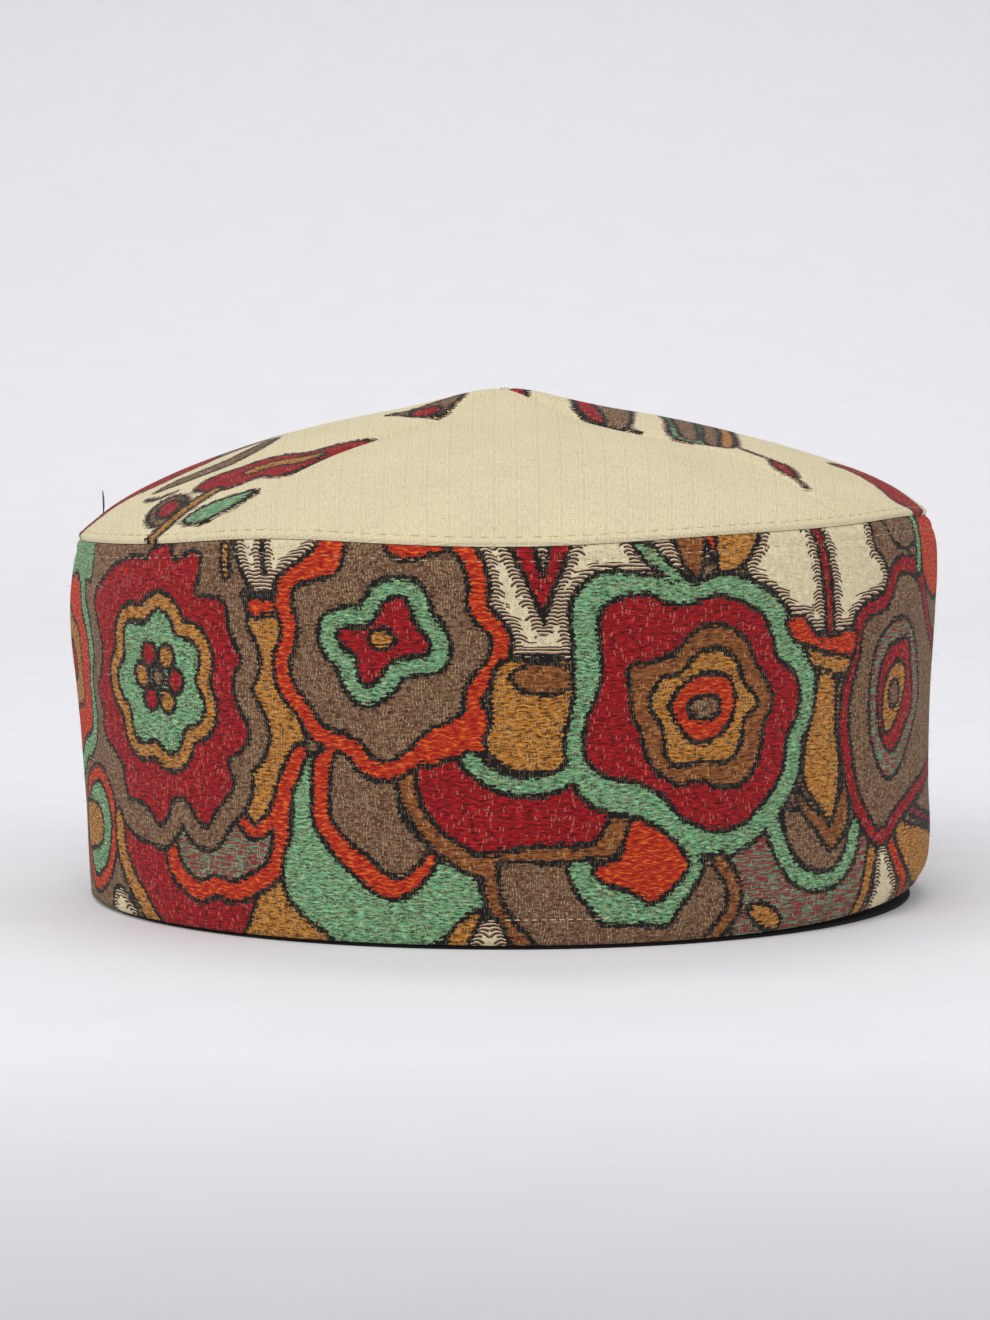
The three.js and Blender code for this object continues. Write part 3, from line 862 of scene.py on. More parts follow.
def ringed_flower(weave):
    """The taupe flower in a scalloped orange ring, with a red diamond in a green one."""
    body = [(-31.4, 82), (-32.6, 76.4), (-34.6, 73.8), (-38.6, 72.8), (-42.7, 71.4), (-43.4, 68),
            (-42.1, 64.3), (-42.6, 60.2), (-44.2, 56), (-43.2, 52), (-40, 48.3), (-37.4, 44.4),
            (-33.3, 42.8), (-29.2, 41), (-26.7, 37.9), (-23.3, 37.5), (-19.2, 39.8), (-15.8, 43.5),
            (-11.7, 45.2), (-8.3, 47.7), (-8.2, 51.4), (-5.8, 55.2), (-3.3, 58.5), (-2.9, 61.8),
            (-5.8, 65.2), (-7.4, 68.4), (-7.1, 72), (-8.3, 76.2), (-11, 79), (-14.5, 78.2), (-19, 77),
            (-23, 78.6), (-26, 82)]
    diamond = [(-25.4, 66), (-22.9, 69.4), (-19.2, 69.4), (-17.7, 65.4), (-15.2, 61.8), (-14.8, 58.8),
               (-19.6, 58.2), (-22.9, 56.6), (-25, 53.9), (-27.6, 52.2), (-29.4, 54.8), (-30, 58.2),
               (-32.9, 60.2), (-33.6, 62.9), (-30.8, 63.9), (-27.7, 63.9)]
    weave.area("orange", *body, grow=3.9)
    weave.area("orange", (-31, 84), (-32.4, 77), (-38.6, 72), (-44.6, 71.6), (-47.2, 72.4), (-43.9, 75.4),
               (-40.2, 77.8), (-38.2, 80.4), (-37.6, 84))
    weave.area("orange", (-17, 37), (-10.1, 38.2), (-4.3, 39.4), (-2.8, 43), (-4, 48), (-7, 50), (-14, 46))
    weave.area("taupe", *body)
    weave.area("green", *diamond, grow=4.0)
    weave.area("red", *diamond)
    weave.lay("ochre", oval(-24.3, 61.6, 2.7, 2.0))
    weave.lay("orange", oval(-51, 67.2, 4.2, 2.0))


def ochre_block(weave):
    """An ochre block that stands on the bowl in a green crescent, with a tan eye on top."""
    weave.area("ochre", (-1.4, 57), (-3, 50), (-2.8, 45.2), (-4.2, 41.8), (-2.6, 38.4), (1, 36), (6, 35.2),
               (12, 36.4), (13, 42), (13.4, 49), (14, 57), (6, 58))
    weave.stem("green", 4.0, (-7, 37.6), (-3.6, 34.9), (1, 33), (6, 32.8), (11, 34), (14.6, 36.6))
    weave.lay("tan", oval(7.4, 54, 6.4, 3.2))


def red_flower(weave):
    """The big red flower with a green heart at the left, in a taupe ring."""
    body = [(-107, 67), (-102.5, 71), (-96, 74.6), (-88.5, 76.2), (-85, 75.8), (-82.5, 78.2),
            (-77.6, 79.2), (-74.6, 76), (-70.4, 77.6), (-67.2, 77.6), (-66.8, 73), (-67.7, 69.4),
            (-63.8, 68.8), (-60.2, 68.4), (-58.9, 65.6), (-58.7, 62.2), (-56.8, 58.5), (-56, 56),
            (-57.8, 53.4), (-58.2, 50.3), (-57, 46.5), (-54.6, 42.3), (-56, 38.9), (-59.6, 36.8),
            (-60.5, 34.6), (-59.2, 32), (-60.4, 29.2), (-63, 27), (-65.6, 24.2), (-67.5, 21.9),
            (-70.2, 22.9), (-72.8, 26), (-75.6, 27.4), (-78.1, 26.3), (-80.4, 22.5), (-83.1, 21),
            (-85.6, 22.7), (-89, 25), (-94.8, 25.6), (-96.6, 28.8), (-96.8, 32.2), (-100.4, 35),
            (-105, 37.4), (-106.8, 40), (-105.4, 43), (-107.9, 47.4), (-104, 52), (-102.4, 57),
            (-104.6, 62)]
    weave.area("taupe", *body, grow=4.9)
    weave.area("red", *body)
    leaves = lobed(-80.6, 50.8, 15.1, 7, 2.7, 80)
    weave.lay("ochre", leaves, 3.6)
    weave.lay("green", leaves)
    weave.lay("taupe", oval(-80, 51.8, 1.9, 1.9))
    petals = 6
    first = 57
    for petal in range(petals):
        turn = math.radians(first + 360 / petals * petal)
        yarn = "red" if petal % 2 else "ochre"
        weave.lay(yarn, oval(-80 + 5.6 * math.cos(turn), 51.7 + 5.3 * math.sin(turn), 2.5, 2.5))


def star_flower(weave):
    """The red star flower in a green ring, with rings of tan, ochre and orange round its heart."""
    weave.area("green", (12.8, 56.6), (13, 61.1), (12.3, 64.4), (12.6, 68.8), (14.4, 72), (17.7, 74.4),
               (21.3, 75), (25.8, 74.4), (30, 73.8), (34.6, 72.6), (38.5, 72.6), (43, 74.2), (48.7, 73.4),
               (55.4, 70.2), (60.2, 65.6), (62, 60.5), (66.2, 57), (68.4, 51.5), (68, 45), (65.2, 39.2),
               (65, 34.5), (62.6, 29), (57.6, 23.4), (52.5, 19.6), (44.4, 16.8), (37.4, 17.6),
               (33.6, 20.4), (29.8, 24), (25, 26.3), (19.8, 27.4), (15.5, 30), (13.1, 33.6), (11.9, 37.8),
               (11.5, 42.4), (12.4, 46.4), (13.2, 51.2))
    weave.area("red", (18.4, 66.8), (21.6, 69.6), (27.5, 70.2), (32, 68.6), (36.5, 68.2), (42, 69.8),
               (48.3, 68.5), (53.3, 65.6), (55.9, 61), (57.2, 57), (61.7, 54.2), (63.9, 50), (63.3, 45),
               (60.6, 40.2), (60.4, 35.6), (58.3, 31), (54.2, 26.8), (50, 23.5), (44.2, 22.6),
               (40.4, 23.6), (35.9, 26), (32, 30), (27, 32.9), (22.1, 33.9), (17.4, 36), (15.4, 40.2),
               (16, 46), (18, 51), (18.8, 56), (18.2, 61.8))
    weave.area("tan", (24.1, 56), (28.3, 57), (33.6, 58.4), (36.2, 61.6), (40, 63.9), (45, 63.6),
               (49.4, 61), (52, 56.2), (55.8, 51.2), (56.7, 47.4), (54.6, 43.6), (54.2, 39), (52.5, 34.3),
               (49.2, 31.9), (44.4, 31.5), (40, 33.1), (35.8, 32.3), (31.6, 34.2), (28.4, 37.7),
               (27, 42.7), (25, 46.8), (24.6, 51.6))
    weave.area("ochre", (28.8, 50.2), (31, 53.6), (34.8, 54.6), (37.4, 57.3), (40.4, 59.3), (44.2, 58.9),
               (47.5, 56.8), (49.4, 52.4), (52.3, 49.4), (52.8, 47.2), (49.8, 45), (49.4, 41),
               (47.5, 37.3), (44.2, 36.4), (40.2, 36.9), (36.5, 36.2), (33.4, 36.6), (32, 39.6),
               (31.5, 43.5), (29.3, 46.8))
    weave.area("orange", (33, 48.4), (35.2, 51.8), (38.4, 53.9), (42.6, 54.4), (46, 53.2), (47.4, 50),
               (47, 45.8), (44.8, 42.6), (41, 40.6), (37.4, 41.2), (34.4, 45))
    weave.lay("taupe", oval(40.5, 47.6, 3.6, 2.5))


def ochre_blade(weave):
    """The ochre blade and the orange and tan shapes between the star flower and the right one."""
    weave.area("taupe", (67.8, 61), (75, 59), (76.6, 52), (76, 42), (76.6, 32), (74, 24), (66, 28),
               (65.2, 36), (68.6, 46))
    weave.area("ochre", (63.6, 60.2), (67.7, 58.6), (72, 57), (77.6, 57), (78.8, 53.6), (73.6, 52.4),
               (67.4, 54.6))
    weave.area("orange", (59.2, 64.4), (63.8, 65), (67.4, 61.6), (72.1, 60.8), (79.4, 61.8), (80, 56.6),
               (74.7, 56.6), (69.1, 57.9), (63.4, 59.6), (61, 61))
    weave.area("ochre", (69.2, 53.2), (68, 46), (66.3, 40.8), (65.7, 35.7), (66.2, 31), (69.6, 26.8),
               (72.9, 23.4), (74.5, 22.6), (76.2, 27.2), (76.9, 33.7), (75.4, 40.1), (74.8, 46.3),
               (74.2, 51.8), (71.7, 53.7))
    weave.black_line((67.6, 54.4), (71, 53.8), (74.6, 51.8), (78, 51.4))


def heart(weave):
    """The orange heart in a green crescent, on taupe, with the stems beside it."""
    weave.area("taupe", (-2, 17), (10, 17.4), (18, 18), (26, 15), (36, 16), (42, 18), (46, 16), (47, 8),
               (45, -3), (2, -3), (-1, 8))
    weave.stem("tan", 3.2, (-3.2, 17), (-2.4, 10), (0.4, 5), (5, 0), (7, -3))
    weave.area("ochre", (-12, 2.4), (-8, 6.6), (-4.4, 8), (-4, 5.2), (-7, 2), (-9, -3), (-12, -3))
    weave.area("cream", (-6.8, 2.8), (-4.6, 6.2), (-1.6, 6.4), (0, 3), (1, -2), (-8, -2))
    weave.area("green", (12.5, 17), (13.9, 12), (18.4, 6.5), (20.8, 4.8), (26.6, 4.6), (33.4, 4),
               (36.1, 7.5), (38.9, 11), (41.7, 16), (39, 18), (32, 20), (24, 18), (17, 18))
    weave.area("orange", (25.6, 26), (29.4, 24.9), (34.1, 21.6), (37.8, 17.2), (37.2, 14.6), (34.9, 12),
               (30.2, 8.8), (25.5, 11.2), (20.4, 12.9), (17.6, 16.2), (22.8, 18.2), (23.8, 21.2))
    weave.stem("tan", 3.4, (45, 16.4), (48.2, 12), (48.4, 6.4), (44.4, 1), (42, -3))
    weave.area("ochre", (51.8, 6.8), (56.5, 7.2), (60.8, 4), (60.4, 1.6), (57, 2), (53, 4.6))


def buds_on_cream(weave):
    """What stands on the cream: strokes at its left, a red V, the buds over the star and a red stem."""
    weave.stem("ochre", 2.0, (-59.4, 84), (-60.2, 78.6), (-59.4, 73.6))
    weave.black_line((-51.6, 84), (-50.6, 77), (-49.6, 73.6))
    weave.area("red", (-0.4, 84), (1.6, 78), (4.2, 72.6), (7.2, 66.4), (9.6, 72.6), (11.8, 78), (13.2, 84))
    weave.area("cream", (4.8, 84), (5.8, 79), (7.1, 73.8), (8.2, 78.6), (8.8, 84))
    weave.black_line((7.2, 68), (7.3, 64.6))
    weave.area("green", (25, 80.4), (28.8, 80), (32.5, 76.2), (37, 72.8), (34.4, 72), (30.6, 74.2),
               (27.2, 77))
    weave.area("tan", (33.4, 84), (34.5, 78), (36.2, 75), (38.4, 73.4), (39.8, 77.4), (40.4, 84))
    weave.area("orange", (40.4, 84), (41.2, 79.4), (43.2, 77), (45.2, 84))
    weave.area("ochre", (44.4, 84), (42.4, 77), (43.4, 74.2), (48.8, 75.8), (54, 84))
    weave.stem("red", 2.4, (68, 86), (69.4, 77.1), (70.2, 72), (71.9, 61.8))


# Motifs of the crown, on the crown laid out flat. Across is to the right of the peak, up is towards
# the front.

def weave_left_panel(weave):
    """A lily on a stem with a leaf and a bud, and parts of the flowers behind it."""
    weave.area("taupe", (-70, 14), (-66, 15.6), (-53, 8), (-50, 2), (-60, 0), (-70, 4))
    weave.area("red", (-98, 14), (-92, 16.6), (-84, 17.4), (-77, 21), (-66, 17), (-64, 8), (-76, 2),
               (-88, 0), (-98, -4))
    weave.area("taupe", (-77, 30), (-73, 27.4), (-67, 26.6), (-61, 24.4), (-56, 18), (-52, 11),
               (-50.4, 13), (-53.4, 22), (-57.4, 28.4), (-61, 31.4), (-67, 32.6), (-73, 32))
    weave.black_line((-79, 33), (-76.5, 37.5), (-71.9, 38.6))
    weave.lay("taupe", oval(-73.4, 49.5, 4.6, 8))
    weave.lay("red", oval(-73, 49.5, 2.8, 4.8))
    weave.area("green", (-69.2, 61.4), (-66, 58.8), (-61, 57.2), (-56, 57.2), (-53.2, 58), (-55.8, 61),
               (-59, 64.2), (-64, 66.6), (-67.6, 65))
    weave.area("red", (-67, 43), (-63.5, 38), (-58.5, 37.5), (-50.4, 35.4), (-43, 37.6), (-36, 34.5),
               (-28, 31), (-30, 36), (-36, 41), (-40, 44.6), (-45, 49.6), (-49, 51.4), (-52.5, 48.6),
               (-57, 50.4), (-61, 50.6), (-65.4, 46.6))
    weave.area("ochre", (-56.4, 42), (-50, 39.4), (-44, 40.4), (-39.2, 39.4), (-40, 42.6), (-45, 44.8),
               (-50, 43.4), (-55, 44.8))
    weave.stem("ochre", 3.2, (-78.6, 62.6), (-72, 57.6), (-67, 53), (-62.5, 49))
    weave.area("taupe", (-26, 11.6), (-20, 9.4), (-14, 5), (-9.6, 2.4), (-9.8, 6), (-12, 10.6), (-15, 15),
               (-20, 15), (-23, 13))
    weave.area("red", (-21, 11.8), (-19.8, 14.6), (-16.6, 14.8), (-14, 11.8), (-14.8, 9.6), (-17.6, 9.8))


def weave_right_panel(weave):
    """Flowers cut by the front seam, a bud on a stem and a red leaf over the rim."""
    weave.area("red", (-2.4, 0), (-0.6, 2.2), (2.4, 4.6), (4.6, 3.4), (4, -4), (-1.5, -4))
    weave.area("taupe", (15.2, -10), (15.4, 0), (16, 10), (19.6, 16.4), (26.2, 22), (28, 12), (28, -4),
               (22, -12))
    weave.area("red", (15.2, -8), (15.4, 2), (16.6, 10.6), (19.4, 16), (22.2, 17.4), (20.8, 8), (19.6, 0),
               (18.6, -8))
    weave.black_line((26.2, 21), (29.4, 25))
    weave.area("green", (36, -6), (36, 12), (36.4, 29), (43, 36), (49.6, 36), (50.6, 20), (50.6, 4),
               (46, -8))
    weave.area("taupe", (37.4, -4), (37.4, 12), (38.4, 29), (41.8, 31.4), (42.4, 16), (42, 0))
    weave.area("taupe", (43.4, -4), (43.8, 14), (43, 33), (46.2, 36), (47.4, 16), (46.6, 0))
    weave.area("ochre", (47, -4), (47.8, 14), (46.4, 35.6), (49.4, 35.4), (50.4, 22), (50.2, 4))
    weave.black_line((49.6, 34.6), (54, 40), (58, 43.5))
    weave.area("red", (57.4, 43.6), (60.6, 45.6), (62, 49), (62.2, 52.6), (59.6, 51), (57.6, 47.6))
    weave.black_line((61.6, 51.6), (64.6, 56.6))
    weave.area("red", (72, 27), (77, 16), (85, 12), (93, 20), (96.5, 31), (93.6, 34.6), (89.6, 37),
               (86, 38.6), (80.8, 31.4), (76, 27))
    weave.area("green", (94.8, 38), (97, 30), (101, 33), (99, 42), (96, 41.6))


CROWN_MOTIFS = {"left": weave_left_panel, "right": weave_right_panel}


# Meshes

def add_mesh(name, points, faces, materials):
    """A smooth-shaded mesh object from points in metres."""
    mesh = bpy.data.meshes.new(name)
    mesh.from_pydata(points, [], faces)
    mesh.polygons.foreach_set("use_smooth", np.ones(len(faces), bool))
    for material in materials:
        mesh.materials.append(material)
    return add_object(name, mesh)


def make_piece(name, points, faces, materials, material_of_face=None, replaces=()):
    """A mesh piece from points in millimetres, riding on the cap."""
    piece = add_mesh(name, (points + SHIFT) * MM, faces, materials)
    if material_of_face is not None:
        piece.data.polygons.foreach_set("material_index", material_of_face)
    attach(piece, "root")
    if replaces:
        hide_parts(*replaces)
    return piece


def store_cloth(mesh, places):
    """Keeps each corner's place in the flat cloth, in millimetres."""
    flat = np.zeros((len(places), 3), np.float32)
    flat[:, :2] = places
    mesh.attributes.new("cloth", "FLOAT_VECTOR", "CORNER").data.foreach_set("vector", flat.ravel())


def ring_azimuths(columns):
    return (np.arange(columns) / columns * 360 - 180)[:, None]


def ring_faces(columns, count):
    """Faces of a closed section carried round: column after column of count points."""
    c, i = np.meshgrid(np.arange(columns), np.arange(count), indexing="ij")
    here, there = c * count, (c + 1) % columns * count
    after = (i + 1) % count
    return np.stack([here + i, there + i, there + after, here + after], -1).reshape(-1, 4)


def wrap_cloth(piece, faces, azimuth, up):
    """Stores a ring's flat places so that its last column runs on instead of jumping back."""
    along = np.broadcast_to(np.radians(azimuth) * CLOTH_RADIUS, up.shape)
    flat = np.stack([along, up], -1).reshape(-1, 2)
    corners = flat[faces]
    corners[faces[:, 1] < faces[:, 0], 1:3, 0] += 2 * math.pi * CLOTH_RADIUS
    store_cloth(piece.data, corners.reshape(-1, 2))
    return flat


# Band

BAND_COLUMNS = 880
BAND_LOW_ROWS = 64
BAND_TOP_ROWS = 30
TOP_SHARE = 0.91  # of the band's height, above which its rows are closer
INNER_ROWS = 6
BACK_SEAM_DEPTH = 0.5
BACK_SEAM_WIDTH = 0.6  # degrees


def band_face(azimuth, share):
    """Radius and height of the band's sewn face."""
    height = band_height(azimuth, share)
    below = band_height(azimuth, 1) - height
    back_seam = BACK_SEAM_DEPTH * bell(azimuth, 180, BACK_SEAM_WIDTH)
    edge = sewn_edge(azimuth, below, STITCH_BELOW, BAND_EDGE)
    return band_radius(azimuth, share) + edge - back_seam, height


def make_band(materials):
    """The band as a closed section carried round: up its outside, over its top and down its inside."""
    azimuth = ring_azimuths(BAND_COLUMNS)
    outer_share = np.concatenate([np.linspace(0, TOP_SHARE, BAND_LOW_ROWS, endpoint=False),
                                  np.linspace(TOP_SHARE, 1, BAND_TOP_ROWS)])[None]
    inner_share = np.linspace(1, 0, INNER_ROWS)[None]
    radius, height = band_face(azimuth, outer_share)
    outside = place(azimuth, radius, height)
    inside = place(azimuth, band_radius(azimuth, inner_share) - BAND_WALL, band_height(azimuth, inner_share))
    points = np.concatenate([outside, inside], axis=1)
    count = points.shape[1]
    faces = ring_faces(BAND_COLUMNS, count)
    section = np.tile(np.arange(count), BAND_COLUMNS)
    backs = (section >= outer_share.shape[1] - 1).astype(np.int32)
    piece = make_piece("woven_band", points.reshape(-1, 3), faces, materials, backs,
                       ["band"])
    up = band_height(azimuth, np.concatenate([outer_share, inner_share], axis=1))
    flat = wrap_cloth(piece, faces, azimuth, up)
    weave = Weave(flat, "taupe", repeat=math.pi * CLOTH_RADIUS)
    weave_band(weave)
    weave.store(piece.data, len(flat))


# Crown

PANEL_COLUMNS = 130
PANEL_ROWS = 150
ROW_CROWDING = 1.35  # how much closer the rows lie at the rim
LAST_ROW = 98.4  # length from the rim at which the rows end, beside the peak
WALL_TURN = 0.12  # share of the radius over which the wall turns from upright to level
TIP_TAPER = 12  # radius inside which the wall closes in on the tip


def crown_rows(from_rim):
    """The crown's table on a smooth line, at lengths along the cloth from its rim."""
    share, rise = np.array(CROWN_SECTIONS["share"]), np.array(CROWN_SECTIONS["rise"])
    knots = np.concatenate([[0], np.cumsum(np.hypot(np.diff(share) * CLOTH_RADIUS, np.diff(rise)))])
    rows = {key: smooth_curve(knots, values, from_rim) for key, values in CROWN_SECTIONS.items()}
    rows["from_rim"] = from_rim
    rows["from_peak"] = knots[-1] - from_rim
    return rows


def panel_seams(panel, share):
    """Azimuths of a panel's two seams, at shares of the radius."""
    first = list(CROWN_PANELS).index(panel)
    seams = []
    for index in (first, first + 1):
        azimuth, bow = CROWN_SEAMS[index % len(CROWN_SEAMS)]
        turns = index // len(CROWN_SEAMS)
        seams.append(azimuth + 360 * turns + bow * smooth_step(1 - share, 0, BOW_SHARE))
    return seams


def crown_surface(panel, across, rows):
    """Azimuth, radius and height of a crown panel's face, by columns across and rows up."""
    share = np.clip(rows["share"], 0, None)
    start, end = panel_seams(panel, share)
    line = (start + end) / 2 + across * (end - start) / 2
    radius = np.maximum(band_radius(line, np.ones_like(line)) * share, TIP_RADIUS)
    azimuth = line - across * np.degrees(np.arcsin(SHOWN_GAP / 2 / radius))
    towards_right = (1 + np.sin(np.radians(azimuth))) / 2
    sunk = rows["left_sunk"] + (rows["right_sunk"] - rows["left_sunk"]) * towards_right
    valley = np.abs(across) ** SOFT_VALLEY
    slack = sunk * (valley + (1 - valley) * (1 - CROWN_PANELS[panel]))
    from_seam = (1 - np.abs(across)) * np.radians((end - start) / 2) * radius
    pinch = SEAM_PINCH * ridge(from_seam, 0, PINCH_WIDTH) * smooth_step(rows["from_rim"], 0, PINCH_START)
    lean = seam_height(azimuth) - SEAM_HEIGHT
    height = SEAM_HEIGHT + SHOWN_GAP / 2 + lean * share**3 + rows["rise"] - slack - pinch
    return azimuth, radius + sewn_edge(azimuth, rows["from_rim"], STITCH_ABOVE, CROWN_EDGE), height


def panel_faces(columns, rows):
    """Faces of a wedge shell: an outer and an inner grid, their edges, and a tip outside and inside."""
    out = np.arange(columns * rows).reshape(columns, rows)
    inn = out + columns * rows
    tip_out, tip_in = 2 * columns * rows, 2 * columns * rows + 1
    outer = np.stack([out[:-1, :-1], out[1:, :-1], out[1:, 1:], out[:-1, 1:]], -1).reshape(-1, 4)
    inner = np.stack([inn[:-1, :-1], inn[:-1, 1:], inn[1:, 1:], inn[1:, :-1]], -1).reshape(-1, 4)
    rim = np.stack([out[:-1, 0], inn[:-1, 0], inn[1:, 0], out[1:, 0]], -1)
    start = np.stack([out[0, :-1], out[0, 1:], inn[0, 1:], inn[0, :-1]], -1)
    end = np.stack([out[-1, :-1], inn[-1, :-1], inn[-1, 1:], out[-1, 1:]], -1)
    tip = [(out[c, -1], out[c + 1, -1], tip_out) for c in range(columns - 1)]
    tip += [(inn[c, -1], tip_in, inn[c + 1, -1]) for c in range(columns - 1)]
    tip += [(out[0, -1], tip_out, tip_in, inn[0, -1]), (out[-1, -1], inn[-1, -1], tip_in, tip_out)]
    quads = np.concatenate([outer, inner, rim, start, end]).tolist()
    return quads + [tuple(int(i) for i in face) for face in tip], len(outer)


def panel_points(panel, azimuth, radius, height, rows):
    """Points of a wedge shell: its outer grid, its inner grid and the two ends of its tip."""
    run, rise = np.gradient(radius, axis=1), np.gradient(height, axis=1)
    length = np.hypot(run, rise)
    upright = smooth_step(1 - rows["share"], 0, WALL_TURN)
    wall_run = (-1 + (1 - rise / length) * upright) * np.minimum(1, radius / TIP_TAPER)
    inner_radius = np.maximum(radius + wall_run * CROWN_WALL, TIP_RADIUS / 2)
    inner_height = height + run / length * upright * CROWN_WALL
    middle = np.array([sum(panel_seams(panel, 0)) / 2])
    peak = SEAM_HEIGHT + SHOWN_GAP / 2 + PEAK_RISE
    tips = [place(middle, TIP_RADIUS, peak), place(middle, TIP_RADIUS, peak - CROWN_WALL)]
    grids = [place(azimuth, radius, height), place(azimuth, inner_radius, inner_height)]
    return np.concatenate([grid.reshape(-1, 3) for grid in grids] + tips)


def make_panel(panel, materials):
    """One wedge of the crown, with its motifs charted on the crown laid out flat."""
    across = np.sin(math.pi / 2 * np.linspace(-1, 1, PANEL_COLUMNS))[:, None]
    rows = crown_rows(LAST_ROW * np.linspace(0, 1, PANEL_ROWS)[None] ** ROW_CROWDING)
    azimuth, radius, height = crown_surface(panel, across, rows)
    points = panel_points(panel, azimuth, radius, height, rows)
    faces, outer_count = panel_faces(PANEL_COLUMNS, PANEL_ROWS)
    backs = np.ones(len(faces), np.int32)
    backs[:outer_count] = 0
    piece = make_piece("cream_panel_" + panel, points, faces, materials, backs,
                       ["crown_panel_" + panel])
    turn = np.radians(azimuth)
    flat = np.stack([rows["from_peak"] * np.sin(turn), rows["from_peak"] * np.cos(turn)], -1).reshape(-1, 2)
    everywhere = np.concatenate([flat, flat, np.zeros((2, 2))])
    corner_points = np.zeros(len(piece.data.loops), np.int32)
    piece.data.loops.foreach_get("vertex_index", corner_points)
    store_cloth(piece.data, everywhere[corner_points])
    weave = Weave(flat, "cream")
    if panel in CROWN_MOTIFS:
        CROWN_MOTIFS[panel](weave)
    weave.store(piece.data, len(flat))


# Facing

FACING_COLUMNS = 360
FACING_ROWS = 8


def make_facing(material):
    """The black facing: a thin lip under the hem, and a wall inside the band."""
    azimuth = ring_azimuths(FACING_COLUMNS)
    heights = np.linspace(FACING_FOOT, FACING_HEIGHT, FACING_ROWS)
    wall = band_radius(azimuth, band_share(azimuth, heights)) - BAND_WALL - SEAM_GAP
    foot = HEM_RADIUS - BAND_WALL - SEAM_GAP
    bevel_in, bevel_up = LIP_BEVEL
    lip = [(HEM_RADIUS - bevel_in, 0), (HEM_RADIUS, bevel_up), (HEM_RADIUS, LIP_HEIGHT - bevel_up),
           (HEM_RADIUS - bevel_in, LIP_HEIGHT), (foot + FACING_TURN, LIP_HEIGHT),
           (foot, LIP_HEIGHT + FACING_TURN)]
    lip_radius, lip_level = np.array(lip).T
    even = 0 * azimuth
    radius = np.concatenate([even + lip_radius, wall, wall[:, ::-1] - FACING_WALL,
                             even + foot - FACING_WALL], axis=1)
    points = place(azimuth, radius, np.concatenate([lip_level, heights, heights[::-1], [0]]))
    count = points.shape[1]
    faces = ring_faces(FACING_COLUMNS, count)
    piece = make_piece("black_facing", points.reshape(-1, 3), faces, [material], None,
                       ["hem_facing"])
    wrap_cloth(piece, faces, azimuth, np.broadcast_to(np.arange(count, dtype=float), radius.shape))


# Sewing threads and loose fibres

THREAD_PLACES = 4  # along each stitch or fibre
THREAD_SIDES = 5
FIBRE_SIDES = 3
OFF_THREADS = (0.31, 0.24, 0.92)  # a direction that no thread follows
TAPER_START = 0.25  # angle at which the sine that thins a thread's ends begins
TAPER_POWER = 0.4
END_BULGE = 0.4  # how far an end stands out, in thicknesses


def unit(ways):
    return ways / np.linalg.norm(ways, axis=2, keepdims=True)


def make_threads(name, lines, thickness, material, sides=THREAD_SIDES):
    """Closed round threads along lines of places, all with as many places. Each tapers at its ends."""
    count, steps = lines.shape[:2]
    way = unit(np.gradient(lines, axis=1))
    first = unit(np.cross(way, OFF_THREADS))
    second = np.cross(way, first)
    turn = np.linspace(0, 2 * math.pi, sides, endpoint=False)
    taper = np.sin(np.linspace(TAPER_START, math.pi - TAPER_START, steps)) ** TAPER_POWER
    round_about = first[:, :, None] * np.cos(turn)[:, None] + second[:, :, None] * np.sin(turn)[:, None]
    rings = lines[:, :, None] + thickness * taper[None, :, None, None] * round_about
    bulge = np.array([-END_BULGE, END_BULGE])[:, None] * thickness
    ends = lines[:, [0, -1]] + way[:, [0, -1]] * bulge
    points = np.concatenate([rings.reshape(count, -1, 3), ends], axis=1)
    quads, tris = [], []
    for side in range(sides):
        beside = (side + 1) % sides
        quads += [(r * sides + side, r * sides + beside, (r + 1) * sides + beside, (r + 1) * sides + side)
                  for r in range(steps - 1)]
        top = (steps - 1) * sides
        tris += [(beside, side, steps * sides), (top + side, top + beside, steps * sides + 1)]
    start = (np.arange(count) * points.shape[1])[:, None, None]
    faces = (start + np.array(quads)[None]).reshape(-1, 4).tolist()
    faces += (start + np.array(tris)[None]).reshape(-1, 3).tolist()
    make_piece(name, points.reshape(-1, 3), faces, [material])


THREAD_LIFT = 0.02  # how far a row of stitches stands off the cloth
CROWN_STITCH = 3.4  # from one stitch to the next
CROWN_STITCH_REACH = 0.3  # half a stitch, as a share of that
CROWN_THREAD = 0.1
BAND_STITCH = 2.6
BAND_STITCH_REACH = 0.22
BAND_THREAD = 0.09
TACKING_HEIGHT = 6.1
TACKING_ENDS = (0.5, 20.5)  # lengths along the band
TACKING_COUNT = 12
TACKING_REACH = 0.55
TACKING_LIFT = 0.08
TACKING_THREAD = 0.14


def along_stitch(reach):
    return np.linspace(-reach, reach, THREAD_PLACES)[None]


def make_crown_stitches(material):
    """The row of short stitches above the crown seam."""
    lines = []
    rows = crown_rows(np.full((1, THREAD_PLACES), STITCH_ABOVE))
    for panel in CROWN_PANELS:
        start, end = panel_seams(panel, 1)
        width = math.radians(end - start) * CLOTH_RADIUS
        count = int(width / CROWN_STITCH)
        middles = (np.arange(count) + 0.5) / count * 2 - 1
        across = middles[:, None] + along_stitch(CROWN_STITCH_REACH) * CROWN_STITCH / width * 2
        azimuth, radius, height = crown_surface(panel, across, rows)
        lines.append(place(azimuth, radius + THREAD_LIFT, height))
    make_threads("crown_stitches", np.concatenate(lines), CROWN_THREAD, material)


